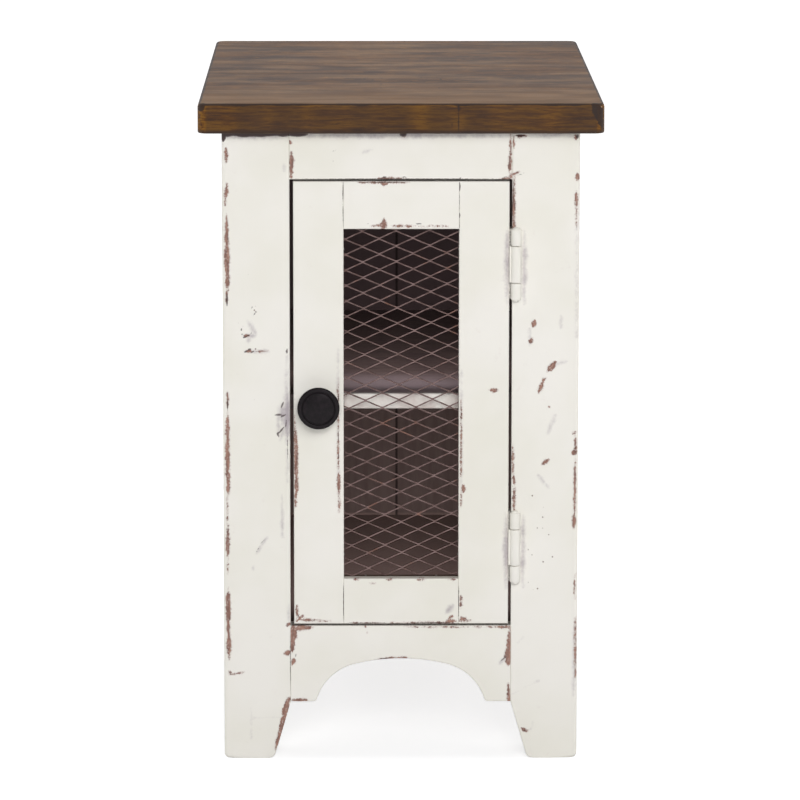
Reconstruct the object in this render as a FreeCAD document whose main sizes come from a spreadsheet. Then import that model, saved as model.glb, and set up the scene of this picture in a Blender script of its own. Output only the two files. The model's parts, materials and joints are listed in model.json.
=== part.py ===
import FreeCAD, Part
import math
import os
import re

import Sketcher

# Storage side table: a framed cabinet on four tapered corner legs, with an overhanging top,
# an inner shelf and one framed door of expanded metal that swings on two butt hinges.
# Millimetres. +Z is up, the door faces -Y, and the origin is on the floor under the middle.

V = FreeCAD.Vector

# Driving dimensions, one cell of the sheet each.
SIZES = {
    # Frames of the cabinet
    "body_width": 323,
    "body_depth": 568,
    "leg_height": 578,
    "leg_width": 61,
    "foot_width": 45.5,
    "board_thickness": 20,
    "top_rail_height": 43.6,
    "apron_bottom": 53,
    "apron_height": 71,
    "arch_rise": 40.3,
    "arch_crown_drop": 18.4,
    "arch_shoulder_radius": 48,
    "arch_foot": 23.3,
    "arch_corner_round": 4,
    "edge_ease": 3,
    # Top
    "top_thickness": 27,
    "top_overhang": 21,
    "top_corner_radius": 9.5,
    "top_edge_round": 3.2,
    # Panels, floor, shelf and the cleats that carry them
    "side_panel_thickness": 6,
    "back_panel_thickness": 5,
    "rabbet_width": 8,
    "panel_slack": 0.5,
    "plank_width": 111.5,
    "plank_groove_width": 2,
    "plank_groove_depth": 1.2,
    "floor_top": 124,
    "floor_thickness": 12,
    "shelf_top": 335,
    "shelf_thickness": 14,
    "shelf_setback": 24,
    "shelf_edge_ease": 1.5,
    "cleat_width": 18,
    "floor_cleat_height": 10,
    "shelf_cleat_height": 18,
    "cleat_end_gap": 2,
    "top_cleat_width": 20,
    "top_cleat_height": 18,
    # Door
    "door_thickness": 18.5,
    "door_gap_latch": 3.2,
    "door_gap_top": 1.7,
    "door_gap_bottom": 1.8,
    "door_stile_width": 45.5,
    "door_top_rail_height": 43.4,
    "door_bottom_rail_height": 42,
    # Expanded metal sheet and the strips that hold it
    "mesh_setback": 11,
    "mesh_thickness": 1,
    "mesh_pitch_across": 30.7,
    "mesh_pitch_up": 14.26,
    "mesh_strand_width": 1.6,
    "mesh_bond_length": 3.5,
    "mesh_rim": 2.5,
    "mesh_first_bond_across": 31.8,
    "mesh_first_bond_down": 9.6,
    "mesh_clearance": 0.5,
    # Hinges
    "hinge_height": 64,
    "hinge_inset_low": 72,
    "hinge_inset_high": 75,
    "hinge_leaf_thickness": 1.05,
    "hinge_leaf_width": 17,
    "hinge_leaf_gap": 0.3,
    "knuckle_radius": 4.6,
    "knuckle_clearance": 0.4,
    "knuckle_middle": 33,
    "knuckle_gap": 0.25,
    "hinge_pin_radius": 2,
    "hinge_pin_fit": 0.05,
    "hinge_pin_head_radius": 3.3,
    "hinge_pin_head_height": 1.8,
    "hinge_screw_pitch": 22,
    # Knob
    "knob_height_on_door": 203.2,
    "knob_radius": 19.15,
    "knob_length": 26,
    "knob_foot_radius": 8.5,
    "knob_foot_length": 2,
    "knob_neck_radius": 6.5,
    "knob_neck_length": 10,
    "knob_flare_radius": 13,
    "knob_rim_length": 3.5,
    "knob_rim_round": 2.2,
    "knob_dome": 1.6,
    "knob_ring_radius": 14.8,
    "knob_ring_width": 0.9,
    "knob_ring_depth": 0.8,
    "knob_thread_depth": 14,
    # Magnetic catch
    "catch_inset": 32,
    "catch_width": 26,
    "catch_depth": 14,
    "catch_drop": 14,
    "catch_rise": 16,
    "catch_wing_width": 8,
    "catch_wing_thickness": 2.5,
    "magnet_width": 20,
    "magnet_height": 8,
    "magnet_depth": 9,
    "strike_width": 26,
    "strike_height": 9.5,
    "strike_thickness": 1.2,
    # Dowels, screws and brads
    "frame_dowel_radius": 4,
    "frame_dowel_length": 30,
    "frame_dowel_inset": 11,
    "door_dowel_radius": 3,
    "door_dowel_length": 24,
    "door_dowel_inset": 11,
    "dowel_end_slack": 1,
    "wood_screw_radius": 1.75,
    "wood_screw_head_radius": 3.6,
    "wood_screw_head_height": 2.2,
    "wood_screw_bite": 12,
    "small_screw_radius": 1.4,
    "small_screw_head_radius": 2.3,
    "small_screw_length": 17,
    "small_screw_head_height": 1.5,
    "catch_screw_length": 14,
    "strike_screw_length": 11,
    "knob_screw_radius": 2,
    "knob_screw_head_radius": 4,
    "knob_screw_bite": 11,
    "brad_radius": 0.6,
    "brad_head_radius": 1.1,
    "brad_head_height": 0.5,
    "brad_length": 14,
    "brad_end_inset": 20,
    "screw_point": 3,
    "screw_tip_radius": 0.3,
    "screw_head_slope": 0.8,
    "screw_fit": 0.03,
}

# Places and sizes that follow from the driving dimensions.
PLACES = {
    "side": "body_width / 2",
    "side_inner": "side - board_thickness",
    "back": "body_depth / 2",
    "back_inner": "back - board_thickness",
    "leg_inner": "side - leg_width",
    "leg_foot_inner": "side - foot_width",
    "stile_inner": "back - leg_width",
    "stile_foot_inner": "back - foot_width",
    "stile_middle": "(back_inner + stile_inner) / 2",
    "apron_top": "apron_bottom + apron_height",
    "rail_bottom": "leg_height - top_rail_height",
    "table_height": "leg_height + top_thickness",
    "floor_bottom": "floor_top - floor_thickness",
    "floor_cleat_bottom": "floor_bottom - floor_cleat_height",
    "shelf_bottom": "shelf_top - shelf_thickness",
    "shelf_cleat_bottom": "shelf_bottom - shelf_cleat_height",
    "top_cleat_bottom": "leg_height - top_cleat_height",
    "floor_cleat_screw_reach": "stile_inner * 2 / 3",
    "top_cleat_screw_reach": "leg_inner * 3 / 4",
    "rabbet_floor": "apron_top - rabbet_width",
    "rabbet_ceiling": "rail_bottom + rabbet_width",
    # Door, measured along X and Z as seen from the front
    "door_gap_hinge": "2 * hinge_leaf_thickness + hinge_leaf_gap",
    "door_left": "door_gap_latch - leg_inner",
    "door_right": "leg_inner - door_gap_hinge",
    "door_bottom": "apron_top + door_gap_bottom",
    "door_top": "rail_bottom - door_gap_top",
    "door_front": "-back",
    "door_back": "door_front + door_thickness",
    "door_middle": "door_front + door_thickness / 2",
    "mesh_left": "door_left + door_stile_width",
    "mesh_right": "door_right - door_stile_width",
    "mesh_bottom": "door_bottom + door_bottom_rail_height",
    "mesh_top": "door_top - door_top_rail_height",
    "mesh_front": "door_front + mesh_setback",
    "mesh_back": "mesh_front + mesh_thickness",
    # Hinge axis: each barrel lies just in front of the leg, level with the leg leaf's face
    "leaf_left": "leg_inner - hinge_leaf_thickness",
    "door_leaf_right": "door_right + hinge_leaf_thickness",
    "leaf_back": "door_front + hinge_leaf_width",
    "leaf_middle": "door_front + hinge_leaf_width / 2",
    "hinge_x": "leaf_left + knuckle_radius",
    "hinge_y": "door_front - knuckle_radius - knuckle_clearance",
    "hinge_low": "door_bottom + hinge_inset_low",
    "hinge_high": "door_top - hinge_inset_high",
    # Knob and catch
    "knob_x": "door_left + door_stile_width / 2",
    "knob_z": "door_bottom + knob_height_on_door",
    "catch_x": "door_left + catch_inset",
    "catch_z": "rail_bottom - catch_drop / 2",
    "catch_wing_z": "rail_bottom + catch_rise / 2",
}

# Three-centred arches: a wide crown arc that turns into a tighter shoulder arc at each end.
# "turn" is how far the crown arc runs each side of the middle, as an angle.
for arch, half_length in (("front_arch", "leg_inner"), ("side_arch", "stile_inner")):
    PLACES[arch + "_half"] = f"{half_length} - arch_foot"
    PLACES[arch + "_radius"] = f"({arch}_half ^ 2 + arch_crown_drop ^ 2) / (2 * arch_crown_drop)"
    PLACES[arch + "_level"] = f"{arch}_radius - arch_rise"
    PLACES[arch + "_reach"] = f"sqrt({arch}_half ^ 2 + {arch}_level ^ 2)"
    PLACES[arch + "_arm"] = f"{arch}_radius - arch_shoulder_radius"
    PLACES[arch + "_turn"] = (
        f"atan({arch}_half / {arch}_level) - acos(({arch}_arm ^ 2 + {arch}_reach ^ 2"
        f" - arch_shoulder_radius ^ 2) / (2 * {arch}_arm * {arch}_reach))"
    )

TURNS = {
    "+X": FreeCAD.Rotation(V(0, 1, 0), 90),
    "-X": FreeCAD.Rotation(V(0, 1, 0), -90),
    "+Y": FreeCAD.Rotation(V(1, 0, 0), -90),
    "-Y": FreeCAD.Rotation(V(1, 0, 0), 90),
    "+Z": FreeCAD.Rotation(),
    "-Z": FreeCAD.Rotation(V(1, 0, 0), 180),
}

# The sketch plane of a board cut from a flat outline, by the axis that runs through the board.
OUTLINE_PLANES = {"X": "YZ_Plane", "Y": "XZ_Plane", "Z": "XY_Plane"}

doc = FreeCAD.newDocument("StorageSideTable")
sheet = doc.addObject("Spreadsheet::Sheet", "Sizes")
for row, (alias, value) in enumerate(SIZES.items(), start=1):
    sheet.set(f"A{row}", alias)
    sheet.set(f"B{row}", str(value))
    sheet.setAlias(f"B{row}", alias)
doc.recompute()

nodes = []
groups = {}


def formula(text):
    """Spells a formula out in cells of the sheet."""

    def cell(match):
        word = match.group(0)
        if word in PLACES:
            return f"({formula(PLACES[word])})"
        if word in SIZES:
            return f"{sheet.Name}.{word}"
        return word

    return re.sub(r"[a-z]\w*", cell, text)


def number(text):
    """The value of a formula, where a shape has to be worked out in numbers."""
    return float(sheet.evalExpression(formula(text)))


def bind(thing, setting, text):
    thing.setExpression(setting, formula(text))


def place(thing, at, along):
    """Puts a round piece's start at a point and points its axis along a direction."""
    thing.Placement = FreeCAD.Placement(V(), TURNS[along])
    for axis, where in zip("xyz", at):
        bind(thing, "Placement.Base." + axis, where)


def step(at, along, distance):
    """The point a distance from another, along a direction such as +X."""
    moved = list(at)
    axis = "XYZ".index(along[1])
    moved[axis] = f"({at[axis]}) {along[0]} ({distance})"
    return moved


def opposite(along):
    return ("-" if along[0] == "+" else "+") + along[1]


def span(side, inner, outer):
    """Low and high end of a stretch that lies on one side (+1 or -1) of the middle."""
    if side > 0:
        return inner, outer
    return f"-({outer})", f"-({inner})"


def centred(middle, size):
    return f"({middle}) - ({size}) / 2", f"({middle}) + ({size}) / 2"


# ---- Bodies -------------------------------------------------------------------------------


def new_body(label):
    body = doc.addObject("PartDesign::Body", label)
    nodes.append(body)
    return body


def block(body, kind, x, y, z):
    """Adds a box to a body, or takes one out of it: kind is Additive or Subtractive."""
    box = body.newObject(f"PartDesign::{kind}Box", body.Label + "_block")
    for axis, side, (low, high) in zip("xyz", ("Length", "Width", "Height"), (x, y, z)):
        bind(box, "Placement.Base." + axis, low)
        bind(box, side, f"({high}) - ({low})")


def rod(body, kind, at, along, radius, length):
    """Adds a cylinder to a body, or drills it out: kind is Additive or Subtractive."""
    cylinder = body.newObject(f"PartDesign::{kind}Cylinder", body.Label + "_rod")
    bind(cylinder, "Radius", radius)
    bind(cylinder, "Height", length)
    place(cylinder, at, along)


def slab(label, x, y, z):
    """A straight board between low and high ends along X, Y and Z."""
    body = new_body(label)
    block(body, "Additive", x, y, z)
    return body


def sketch_on(body, plane, corners, arcs):
    """A closed outline on one of the body's planes, every corner bound to the sheet.

    arcs gives the radius of each side that is an arc, by the number of its first corner.
    A positive radius bulges to the left of the way round, a negative one to the right.
    """
    sketch = body.newObject("Sketcher::SketchObject", body.Label + "_outline")
    plane_feature = [f for f in body.Origin.OriginFeatures if f.Role == plane][0]
    sketch.AttachmentSupport = [(plane_feature, "")]
    sketch.MapMode = "FlatFace"
    points = [V(number(u), number(v), 0) for u, v in corners]
    firsts, lasts = [], []
    for side, start in enumerate(points):
        end = points[(side + 1) % len(points)]
        if side in arcs:
            radius = number(arcs[side])
            across = (end - start).cross(V(0, 0, 1)).normalize()
            depth = math.sqrt(radius ** 2 - ((end - start).Length / 2) ** 2)
            centre = (start + end) / 2 + across * math.copysign(depth, radius)
            one, two = (end, start) if radius > 0 else (start, end)
            angles = [math.atan2(p.y - centre.y, p.x - centre.x) for p in (one, two)]
            circle = Part.Circle(centre, V(0, 0, 1), abs(radius))
            sketch.addGeometry(Part.ArcOfCircle(circle, *angles))
            firsts.append(2 if radius > 0 else 1)
            lasts.append(1 if radius > 0 else 2)
        else:
            sketch.addGeometry(Part.LineSegment(start, end))
            firsts.append(1)
            lasts.append(2)
    for side, (u, v) in enumerate(corners):
        following = (side + 1) % len(corners)
        joint = Sketcher.Constraint("Coincident", side, lasts[side], following, firsts[following])
        sketch.addConstraint(joint)
        for direction, where, value in (("X", u, points[side].x), ("Y", v, points[side].y)):
            tie = Sketcher.Constraint(f"Distance{direction}", -1, 1, side, firsts[side], value)
            bind(sketch, f"Constraints[{sketch.addConstraint(tie)}]", where)
    for side, radius in arcs.items():
        tie = Sketcher.Constraint("Radius", side, abs(number(radius)))
        bind(sketch, f"Constraints[{sketch.addConstraint(tie)}]", f"abs({radius})")
    return sketch


def outlined(label, normal, corners, low, high, arcs=None):
    """A board cut to an outline, standing between low and high along its normal axis."""
    body = new_body(label)
    sketch = sketch_on(body, OUTLINE_PLANES[normal], corners, arcs or {})
    # The XZ plane faces -Y, so a board across Y grows from its high side to its low side.
    bind(sketch, "AttachmentOffset.Base.z", f"-({high})" if normal == "Y" else low)
    pad = body.newObject("PartDesign::Pad", label + "_pad")
    pad.Profile = sketch
    bind(pad, "Length", f"({high}) - ({low})")
    return body


def turned(label, corners, arcs, at, along):
    """A round piece: the outline gives its radius and the distance along its axis."""
    body = new_body(label)
    sketch = sketch_on(body, "XZ_Plane", corners, arcs)
    turning = body.newObject("PartDesign::Revolution", label + "_turning")
    turning.Profile = sketch
    turning.ReferenceAxis = (sketch, ["V_Axis"])
    turning.Angle = 360
    place(body, at, along)
    return body


def ease(body, radius, chosen):
    """Rounds the edges of a body whose bounding boxes are chosen."""
    doc.recompute()
    base = body.Tip
    edges = [f"Edge{i}" for i, e in enumerate(base.Shape.Edges, start=1) if chosen(e.BoundBox)]
    fillet = body.newObject("PartDesign::Fillet", body.Label + "_ease")
    fillet.Base = (base, edges)
    bind(fillet, "Radius", radius)


def on_plane(axis, where):
    """Chooses edges that lie in the plane at one place along an axis."""
    level = number(where)

    def chosen(box):
        low, high = getattr(box, axis + "Min"), getattr(box, axis + "Max")
        return abs(low - level) < 1e-4 and abs(high - level) < 1e-4

    return chosen


# ---- Fasteners, each with its holes ----------------------------------------------------------


def primitive(kind, at, along, **settings):
    piece = doc.addObject("Part::" + kind, kind)
    for setting, text in settings.items():
        bind(piece, setting, text)
    place(piece, at, along)
    return piece


def fused(group, pieces):
    fastener = doc.addObject("Part::MultiFuse", group + "_piece")
    fastener.Shapes = pieces
    groups.setdefault(group, []).append(fastener)


def pan_screw(group, at, along, size, length, pieces):
    """A screw whose head stands on the surface at a point; the pieces get its hole."""
    radius, head_radius = f"{size}_radius", f"{size}_head_radius"
    head_height = "small_screw_head_height" if size == "small_screw" else "wood_screw_head_height"
    shank = f"({length}) - screw_point"
    fused(group, [
        primitive("Cone", step(at, opposite(along), head_height), along,
                  Radius1=f"{head_radius} - screw_head_slope", Radius2=head_radius,
                  Height=head_height),
        primitive("Cylinder", at, along, Radius=radius, Height=shank),
        primitive("Cone", step(at, along, shank), along,
                  Radius1=radius, Radius2="screw_tip_radius", Height="screw_point"),
    ])
    for piece in pieces:
        rod(piece, "Subtractive", at, along, f"{radius} + screw_fit", length)


def sunk_screw(group, at, along, length, plate, wood):
    """A small screw whose cone-shaped head lies flush in a plate."""
    radius, head_radius = "small_screw_radius", "small_screw_head_radius"
    sink = f"{head_radius} - {radius}"
    shank = f"({length}) - ({sink}) - screw_point"
    fused(group, [
        primitive("Cone", at, along, Radius1=head_radius, Radius2=radius, Height=sink),
        primitive("Cylinder", step(at, along, sink), along, Radius=radius, Height=shank),
        primitive("Cone", step(at, along, f"({length}) - screw_point"), along,
                  Radius1=radius, Radius2="screw_tip_radius", Height="screw_point"),
    ])
    cone = plate.newObject("PartDesign::SubtractiveCone", plate.Label + "_sink")
    bind(cone, "Radius1", f"{head_radius} + screw_fit")
    bind(cone, "Radius2", f"{radius} + screw_fit")
    bind(cone, "Height", sink)
    place(cone, at, along)
    for piece in (plate, wood):
        rod(piece, "Subtractive", at, along, f"{radius} + screw_fit", length)


def dowel(group, at, axis, size, low_piece, high_piece):
    """A dowel glued across a joint, half its length in each of two boards."""
    half = f"{size}_length / 2"
    pin = primitive("Cylinder", step(at, "-" + axis, half), "+" + axis,
                    Radius=f"{size}_radius", Height=f"{size}_length")
    groups.setdefault(group, []).append(pin)
    for piece, sign in ((low_piece, "-"), (high_piece, "+")):
        rod(piece, "Subtractive", at, sign + axis, f"{size}_radius", f"{half} + dowel_end_slack")


def brad(at, along, strip, frame_piece):
    """A headed pin nail through a retaining strip into the door's frame."""
    fused("mesh_brads", [
        primitive("Cylinder", step(at, opposite(along), "brad_head_height"), along,
                  Radius="brad_head_radius", Height="brad_head_height"),
        primitive("Cylinder", at, along, Radius="brad_radius", Height="brad_length"),
    ])
    for piece in (strip, frame_piece):
        rod(piece, "Subtractive", at, along, "brad_radius + screw_fit", "brad_length")


# ---- Cabinet -------------------------------------------------------------------------------


def table_top():
    x = ("-side - top_overhang", "side + top_overhang")
    y = ("-back - top_overhang", "back + top_overhang")
    top = slab("table_top", x, y, ("leg_height", "table_height"))
    ease(top, "top_corner_radius", lambda box: box.ZLength > number("top_thickness") / 2)
    upper, lower = on_plane("Z", "table_height"), on_plane("Z", "leg_height")
    ease(top, "top_edge_round", lambda box: upper(box) or lower(box))
    return top


def leg_outline(side, inner, foot_inner, outer):
    """A straight leg whose inner edge tapers in below the apron."""
    corners = [(inner, "apron_bottom"), (inner, "leg_height"), (outer, "leg_height"),
               (outer, "0"), (foot_inner, "0")]
    return [(f"{side} * ({u})", v) for u, v in corners]


def legs():
    """Each corner is two boards that meet in an L: the leg in front, the stile behind it."""
    made = {}
    for end, end_name in ((-1, "front"), (1, "rear")):
        for side, side_name in ((-1, "left"), (1, "right")):
            y = span(end, "back_inner", "back")
            leg = outlined(f"{end_name}_leg_{side_name}", "Y",
                           leg_outline(side, "leg_inner", "leg_foot_inner", "side"), *y)
            outside, top = on_plane("Y", f"{end} * back"), on_plane("Z", "leg_height")
            ease(leg, "edge_ease", lambda box: outside(box) and not top(box))
            x = span(side, "side_inner", "side")
            stile = outlined(f"side_stile_{end_name}_{side_name}", "X",
                             leg_outline(end, "stile_inner", "stile_foot_inner", "back_inner"), *x)
            outside, seam = on_plane("X", f"{side} * side"), on_plane("Y", f"{end} * back_inner")
            ease(stile, "edge_ease",
                 lambda box: outside(box) and not top(box) and not seam(box))
            made[end, side] = leg, stile
    return made


def apron(label, normal, half_length, arch, low, high):
    """A board with an arch cut from its lower edge, and the arch's corners rounded."""
    tangent_u = f"{arch}_radius * sin({arch}_turn)"
    tangent_v = f"apron_bottom + {arch}_radius * cos({arch}_turn) - {arch}_level"
    right = [(tangent_u, tangent_v), (f"{arch}_half", "apron_bottom"),
             (half_length, "apron_bottom"), (half_length, "apron_top")]
    left = [(f"-({u})", v) for u, v in reversed(right)]
    arcs = {2: "arch_shoulder_radius", 3: f"{arch}_radius", 4: "arch_shoulder_radius"}
    board = outlined(label, normal, left + right, low, high, arcs)
    across = "Y" if normal == "X" else "X"
    corners = [on_plane(across, f"{side} * {arch}_half") for side in (-1, 1)]
    ease(board, "arch_corner_round", lambda box: any(corner(box) for corner in corners))
    return board


def rail_frame(made):
    """Top rails and aprons between the legs, doweled into them."""
    rails = {}
    for end, name in ((-1, "front"), (1, "rear")):
        y = span(end, "back_inner", "back")
        top = slab(f"{name}_top_rail", ("-leg_inner", "leg_inner"), y, ("rail_bottom", "leg_height"))
        low = apron(f"{name}_apron", "Y", "leg_inner", "front_arch", *y)
        outside, crown = on_plane("Y", f"{end} * back"), on_plane("Z", "leg_height")
        for rail in (top, low):
            ease(rail, "edge_ease",
                 lambda box: outside(box) and not crown(box) and box.XLength > 1)
        join((made[end, -1][0], made[end, 1][0]), top, low, "X", "leg_inner",
             f"{end} * (back - board_thickness / 2)")
        rails[name] = top, low
    for side, name in ((-1, "left"), (1, "right")):
        x = span(side, "side_inner", "side")
        top = slab(f"side_top_rail_{name}", x, ("-stile_inner", "stile_inner"),
                   ("rail_bottom", "leg_height"))
        low = apron(f"side_apron_{name}", "X", "stile_inner", "side_arch", *x)
        outside, crown = on_plane("X", f"{side} * side"), on_plane("Z", "leg_height")
        for rail in (top, low):
            ease(rail, "edge_ease",
                 lambda box: outside(box) and not crown(box) and box.YLength > 1)
        join((made[-1, side][1], made[1, side][1]), top, low, "Y", "stile_inner",
             f"{side} * (side - board_thickness / 2)")
        rails[name] = top, low
    return rails


def join(posts, top, low, axis, reach, middle):
    """Two dowels at each end of a top rail and of an apron."""
    heights = {top: ("rail_bottom + frame_dowel_inset", "leg_height - frame_dowel_inset"),
               low: ("apron_bottom + frame_dowel_inset", "apron_top - frame_dowel_inset")}
    for rail, levels in heights.items():
        for level in levels:
            for where, pair in ((f"-({reach})", (posts[0], rail)), (reach, (rail, posts[1]))):
                at = (where, middle, level) if axis == "X" else (middle, where, level)
                dowel("frame_dowels", at, axis, "frame_dowel", *pair)


def panels(made, rails):
    """Thin panels let into a rabbet on the inner side of each side frame and of the rear frame."""
    z = ("rabbet_floor", "rabbet_ceiling")
    z_panel = ("rabbet_floor + panel_slack", "rabbet_ceiling - panel_slack")
    for side, name in ((-1, "left"), (1, "right")):
        x = span(side, "side_inner", "side_inner + side_panel_thickness")
        for piece in (*rails[name], made[-1, side][1], made[1, side][1]):
            block(piece, "Subtractive", x, centred("0", "2 * (stile_inner + rabbet_width)"), z)
        width = "2 * (stile_inner + rabbet_width - panel_slack)"
        panel = slab(f"side_panel_{name}", x, centred("0", width), z_panel)
        for plank in (-1, 0, 1):
            block(panel, "Subtractive",
                  span(side, "side_inner + side_panel_thickness - plank_groove_depth",
                       "side_inner + side_panel_thickness"),
                  centred(f"{plank} * plank_width", "plank_groove_width"), z_panel)
    y = ("back_inner", "back_inner + back_panel_thickness")
    for piece in (*rails["rear"], made[1, -1][0], made[1, 1][0]):
        block(piece, "Subtractive", centred("0", "2 * (leg_inner + rabbet_width)"), y, z)
    width = "2 * (leg_inner + rabbet_width - panel_slack)"
    panel = slab("back_panel", centred("0", width), y, z_panel)
    block(panel, "Subtractive", centred("0", "plank_groove_width"),
          ("back_inner", "back_inner + plank_groove_depth"), z_panel)


def inside(made, rails, top):
    """Floor, shelf, the cleats under them and the cleats that hold the top down."""
    x, y = ("-side_inner", "side_inner"), ("-back_inner", "back_inner")
    slab("cabinet_floor", x, y, ("floor_bottom", "floor_top"))
    shelf = slab("shelf", x, ("shelf_setback - back", "back_inner"), ("shelf_bottom", "shelf_top"))
    front = on_plane("Y", "shelf_setback - back")
    ease(shelf, "shelf_edge_ease", lambda box: front(box) and box.XLength > 1)
    y = ("cleat_end_gap - back_inner", "back_inner - cleat_end_gap")
    length = "cleat_width + wood_screw_bite"
    for side, name in ((-1, "left"), (1, "right")):
        x = span(side, "side_inner - cleat_width", "side_inner")
        along = "-X" if side < 0 else "+X"
        face = f"{side} * (side_inner - cleat_width)"
        cleat = slab(f"floor_cleat_{name}", x, y, ("floor_cleat_bottom", "floor_bottom"))
        for place_y in ("-floor_cleat_screw_reach", "0", "floor_cleat_screw_reach"):
            at = (face, place_y, "floor_bottom - floor_cleat_height / 2")
            pan_screw("cleat_screws", at, along, "wood_screw", length, (cleat, rails[name][1]))
        cleat = slab(f"shelf_cleat_{name}", x, y, ("shelf_cleat_bottom", "shelf_bottom"))
        for end in (-1, 1):
            at = (face, f"{end} * stile_middle", "shelf_bottom - shelf_cleat_height / 2")
            stile = made[end, side][1]
            pan_screw("cleat_screws", at, along, "wood_screw", length, (cleat, stile))
    for end, name in ((-1, "front"), (1, "rear")):
        y = span(end, "back_inner - top_cleat_width", "back_inner")
        cleat = slab(f"top_cleat_{name}", ("-side_inner", "side_inner"), y,
                     ("top_cleat_bottom", "leg_height"))
        for side in (-1, 1):
            at = (f"{side} * top_cleat_screw_reach",
                  f"{end} * (back_inner - top_cleat_width)",
                  "leg_height - top_cleat_height / 2")
            pan_screw("cleat_screws", at, "-Y" if end < 0 else "+Y", "wood_screw",
                      "top_cleat_width + wood_screw_bite", (cleat, rails[name][0]))
            at = (f"{side} * leg_inner", f"{end} * (back_inner - top_cleat_width / 2)",
                  "top_cleat_bottom")
            pan_screw("top_screws", at, "+Z", "wood_screw",
                      "top_cleat_height + wood_screw_bite", (cleat, top))


# ---- Door ----------------------------------------------------------------------------------


def door_frame():
    """Two full-height stiles with two rails doweled between them, rabbeted behind the opening."""
    y = ("door_front", "door_back")
    z = ("door_bottom", "door_top")
    left = slab("door_stile_left", ("door_left", "mesh_left"), y, z)
    right = slab("door_stile_right", ("mesh_right", "door_right"), y, z)
    across = ("mesh_left", "mesh_right")
    top = slab("door_rail_top", across, y, ("mesh_top", "door_top"))
    bottom = slab("door_rail_bottom", across, y, ("door_bottom", "mesh_bottom"))
    front = on_plane("Y", "door_front")
    for stile in (left, right):
        ease(stile, "edge_ease", front)
    for rail in (top, bottom):
        ease(rail, "edge_ease", lambda box: front(box) and box.XLength > 1)
    for rail, levels in (
        (top, ("mesh_top + door_dowel_inset", "door_top - door_dowel_inset")),
        (bottom, ("door_bottom + door_dowel_inset", "mesh_bottom - door_dowel_inset")),
    ):
        for level in levels:
            dowel("door_dowels", ("mesh_left", "door_middle", level), "X", "door_dowel", left, rail)
            dowel("door_dowels", ("mesh_right", "door_middle", level), "X", "door_dowel", rail, right)
    seat_x = ("mesh_left - rabbet_width", "mesh_right + rabbet_width")
    seat_z = ("mesh_bottom - rabbet_width", "mesh_top + rabbet_width")
    for piece in (left, right, top, bottom):
        block(piece, "Subtractive", seat_x, ("mesh_front", "door_back"), seat_z)
    return {"left": left, "right": right, "top": top, "bottom": bottom}


def mesh_strips(frame):
    """Strips that fill the rabbet behind the sheet, bradded to the frame."""
    y = ("mesh_back", "door_back")
    middle_y = "(mesh_back + door_back) / 2"
    tall = ("mesh_bottom - rabbet_width", "mesh_top + rabbet_width")
    for name, x, face, along in (
        ("left", ("mesh_left - rabbet_width", "mesh_left"), "mesh_left", "-X"),
        ("right", ("mesh_right", "mesh_right + rabbet_width"), "mesh_right", "+X"),
    ):
        strip = slab(f"mesh_strip_{name}", x, y, tall)
        for level in ("mesh_bottom + brad_end_inset", "(mesh_bottom + mesh_top) / 2",
                      "mesh_top - brad_end_inset"):
            brad((face, middle_y, level), along, strip, frame[name])
    for name, z, face, along in (
        ("top", ("mesh_top", "mesh_top + rabbet_width"), "mesh_top", "+Z"),
        ("bottom", ("mesh_bottom - rabbet_width", "mesh_bottom"), "mesh_bottom", "-Z"),
    ):
        strip = slab(f"mesh_strip_{name}", ("mesh_left", "mesh_right"), y, z)
        for where in ("mesh_left + brad_end_inset", "mesh_right - brad_end_inset"):
            brad((where, middle_y, face), along, strip, frame[name])


def clipped(polygon, axis, sign, limit):
    """Cuts a convex polygon with a straight line across one axis."""
    kept = []
    for here, there in zip(polygon, polygon[1:] + polygon[:1]):
        room_here, room_there = sign * (limit - here[axis]), sign * (limit - there[axis])
        if room_here >= 0:
            kept.append(here)
        if room_here * room_there < 0:
            share = room_here / (room_here - room_there)
            kept.append(tuple(a + share * (b - a) for a, b in zip(here, there)))
    return kept


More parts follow.
